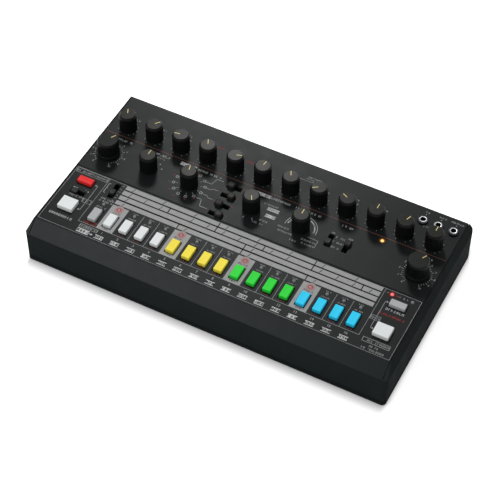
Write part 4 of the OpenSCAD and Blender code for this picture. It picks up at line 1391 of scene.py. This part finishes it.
class DRUM_OT_lights(Operator):
    """Make the round lights, four of the steps lit red and one lit amber"""

    bl_idname = "drum.lights"
    bl_label = "Lights"

    def execute(self, context):
        s = context.scene.drum_light
        groups = light_groups()
        spacer = moulded("spacer_plastic", (0.7, 0.68, 0.62), 0.5)
        amber = s.lit if s.amber else 0
        # Each lens: its colour, its glow seen straight on and from the side, its strength and coat
        lenses = {
            "tile": ((0.2, 0.07, 0.07), ((0.42, 0.17, 0.18), (0.36, 0.12, 0.12)), 0.6 * s.lit, 0.2),
            "red": ((0.6, 0.06, 0.05), ((0.72, 0.17, 0.17), (0.34, 0.02, 0.02)), s.lit, 0.6),
            "amber": ((0.7, 0.4, 0.1), ((1.0, 0.68, 0.27), (0.75, 0.3, 0.03)), amber, 0.6),
            "clear": ((0.2, 0.218, 0.222), ((0, 0, 0), (0, 0, 0)), 0, 0),
        }
        for name, look in lenses.items():
            glass = lens(f"lens_{name}", *look)
            piece(f"lights_{name}", light_form(groups[name]), [glass, spacer], "lights", 40)
        ground = context.scene.drum_case.colour
        paper = context.scene.drum_print.grey
        # Each spill: how far it reaches, its height, and its ground, tint, glow and strength
        spills = {
            "tile": (4.2, 0.045, paper, (0.36, 0.15, 0.145), (1, 0.05, 0.04), 0),
            "red": (2.7, 0.0, ground, (0.05, 0.01, 0.01), (1, 0.06, 0.06), 0.2 * s.lit),
            "amber": (3.0, 0.0, ground, (0.03, 0.01, 0), (1, 0.36, 0.01), 0.16 * amber),
        }
        for name, (outer, low, *look) in spills.items():
            form = spill_form(groups[name], outer, low)
            piece(f"spill_{name}", form, [spill_material(f"spill_{name}", *look)], split=40)
        return {"FINISHED"}


# ---------- sockets ----------

# A jack's bush as radius and height over the deck, outside then inside, and its nut with its knurl
BUSH = (
    (3.0, -2.9), (3.0, 1.5), (2.9, 1.95), (2.78, 2.12), (2.6, 2.2), (2.32, 2.16), (2.16, 2.0), (2.04, 1.5),
    (1.86, 0.6), (1.8, -0.5), (1.8, -2.9),
)
BUSH_OUTSIDE = 6
NUT = (
    (3.1, 0.02, 0), (4.0, 0.02, 0), (4.1, 0.12, 0.09), (4.1, 1.1, 0.09), (3.95, 1.35, 0), (3.7, 1.5, 0),
    (3.1, 1.5, 0),
)


class DRUM_OT_jacks(Operator):
    """Make the three panel jacks with their bushes and knurled nuts"""

    bl_idname = "drum.jacks"
    bl_label = "Panel jacks"

    def execute(self, context):
        plated = metal("jack_plating", context.scene.drum_socket.plate, 0.5)
        dark = metal("nut_metal", (0.05, 0.052, 0.055), 0.35)
        block = moulded("jack_block", (0.02, 0.021, 0.022), 0.5)
        bm = bmesh.new()
        inside = len(BUSH) - BUSH_OUTSIDE
        for spot in (at(x, JACK_ROW) for x in JACK_XS):
            loft(bm, [round_outline(*spot, 9, 11, 0.3, z) for z in (BOARD, DECK - 3.1)], 2)
            bush = [(r, DECK + z) for r, z in BUSH]
            turned(bm, *spot, bush, [0] * BUSH_OUTSIDE + [1] * inside, 40, True)
            loft(bm, [circle(*spot, r, DECK + z, 72, knurl) for r, z, knurl in NUT], 1, True)
        piece("jacks", bm, [plated, dark, block], "panel_jacks", 30)
        return {"FINISHED"}


# Where the USB socket, the power inlet and the output stand across
USB_X, POWER_X, OUTPUT_X = 88.5, 106, 25
HOUSING, PLATED, TONGUE = range(3)


class DRUM_OT_rear(Operator):
    """Make the rear sockets and the power rocker"""

    bl_idname = "drum.rear"
    bl_label = "Rear sockets"

    def execute(self, context):
        s = context.scene.drum_socket
        plastic = moulded("socket_plastic", (0.018, 0.019, 0.02), 0.42)
        plated = metal("socket_plating", tint(s.plate, 0.6, 0.6, 0.6), 0.3)
        tongue = moulded("tongue_plastic", (0.78, 0.78, 0.75), 0.45)
        bm = merged_copy("rear_sockets")
        for part, low, high in islands(bm):
            x, wide = (low.x + high.x) / 2 / MM, (high.x - low.x) / MM
            pin = abs(x - POWER_X) < 1 and wide < 4
            bush = abs(x - OUTPUT_X) < 1 and wide < 15.5
            paint = PLATED if pin or bush else HOUSING
            if abs(x - USB_X) < 1:
                paint = PLATED if wide > 8 else TONGUE
            for face in part:
                face.material_index = paint
        sockets = softened(bm, "sockets", s.edge)
        piece("sockets", sockets, [plastic, plated, tongue], "rear_sockets", 0)
        black = moulded("rocker_plastic", (0.012, 0.0125, 0.013), 0.34)
        rounded_piece("rocker_piece", "power_rocker", black, 0.35 * MM, 3, "power_rocker")
        return {"FINISHED"}


# ---------- inside parts ----------


class DRUM_OT_inside(Operator):
    """Finish the boards, cable, switches and screws inside the case"""

    bl_idname = "drum.inside"
    bl_label = "Inside parts"

    def execute(self, context):
        board = board_material("board_mask")
        finishes = {
            "control_board": board,
            "main_board": board,
            "ribbon_cable": ribbon_material("ribbon_sheath"),
            "potentiometers": metal("pot_shell", (0.5, 0.51, 0.52), 0.35),
            "switch_bodies": moulded("switch_plastic", (0.014, 0.014, 0.015), 0.6),
            "screws": metal("screw_metal", (0.55, 0.55, 0.56), 0.3),
        }
        for name, material in finishes.items():
            mesh = frame["nodes"][name].data
            if not mesh.materials:
                mesh.materials.append(material)
            for i in range(len(mesh.materials)):
                mesh.materials[i] = material
        return {"FINISHED"}


# ---------- panel and running ----------

OPERATORS = [
    DRUM_OT_stage,
    DRUM_OT_case,
    DRUM_OT_print,
    DRUM_OT_knobs,
    DRUM_OT_keys,
    DRUM_OT_slides,
    DRUM_OT_lights,
    DRUM_OT_jacks,
    DRUM_OT_rear,
    DRUM_OT_inside,
]


class DRUM_PT_panel(Panel):
    """The settings and the steps of the drum machine"""

    bl_label = "Drum Machine"
    bl_space_type = "VIEW_3D"
    bl_region_type = "UI"
    bl_category = "Drum Machine"

    def draw(self, context):
        for name in SETTINGS:
            box = self.layout.box()
            group = getattr(context.scene, name)
            for key in group.__annotations__:
                box.prop(group, key)
        for operator in OPERATORS:
            self.layout.operator(operator.bl_idname)


CLASSES = [*SETTINGS.values(), *OPERATORS, DRUM_PT_panel]


def register():
    for cls in CLASSES:
        bpy.utils.register_class(cls)
    for name, group in SETTINGS.items():
        setattr(bpy.types.Scene, name, PointerProperty(type=group))


def unregister():
    for name in SETTINGS:
        delattr(bpy.types.Scene, name)
    for cls in reversed(CLASSES):
        bpy.utils.unregister_class(cls)


def main():
    register()
    bpy.ops.drum.stage()
    bpy.ops.drum.case()
    bpy.ops.drum.print()
    bpy.ops.drum.knobs()
    bpy.ops.drum.keys()
    bpy.ops.drum.slides()
    bpy.ops.drum.lights()
    bpy.ops.drum.jacks()
    bpy.ops.drum.rear()
    bpy.ops.drum.inside()


if __name__ == "__main__":
    main()
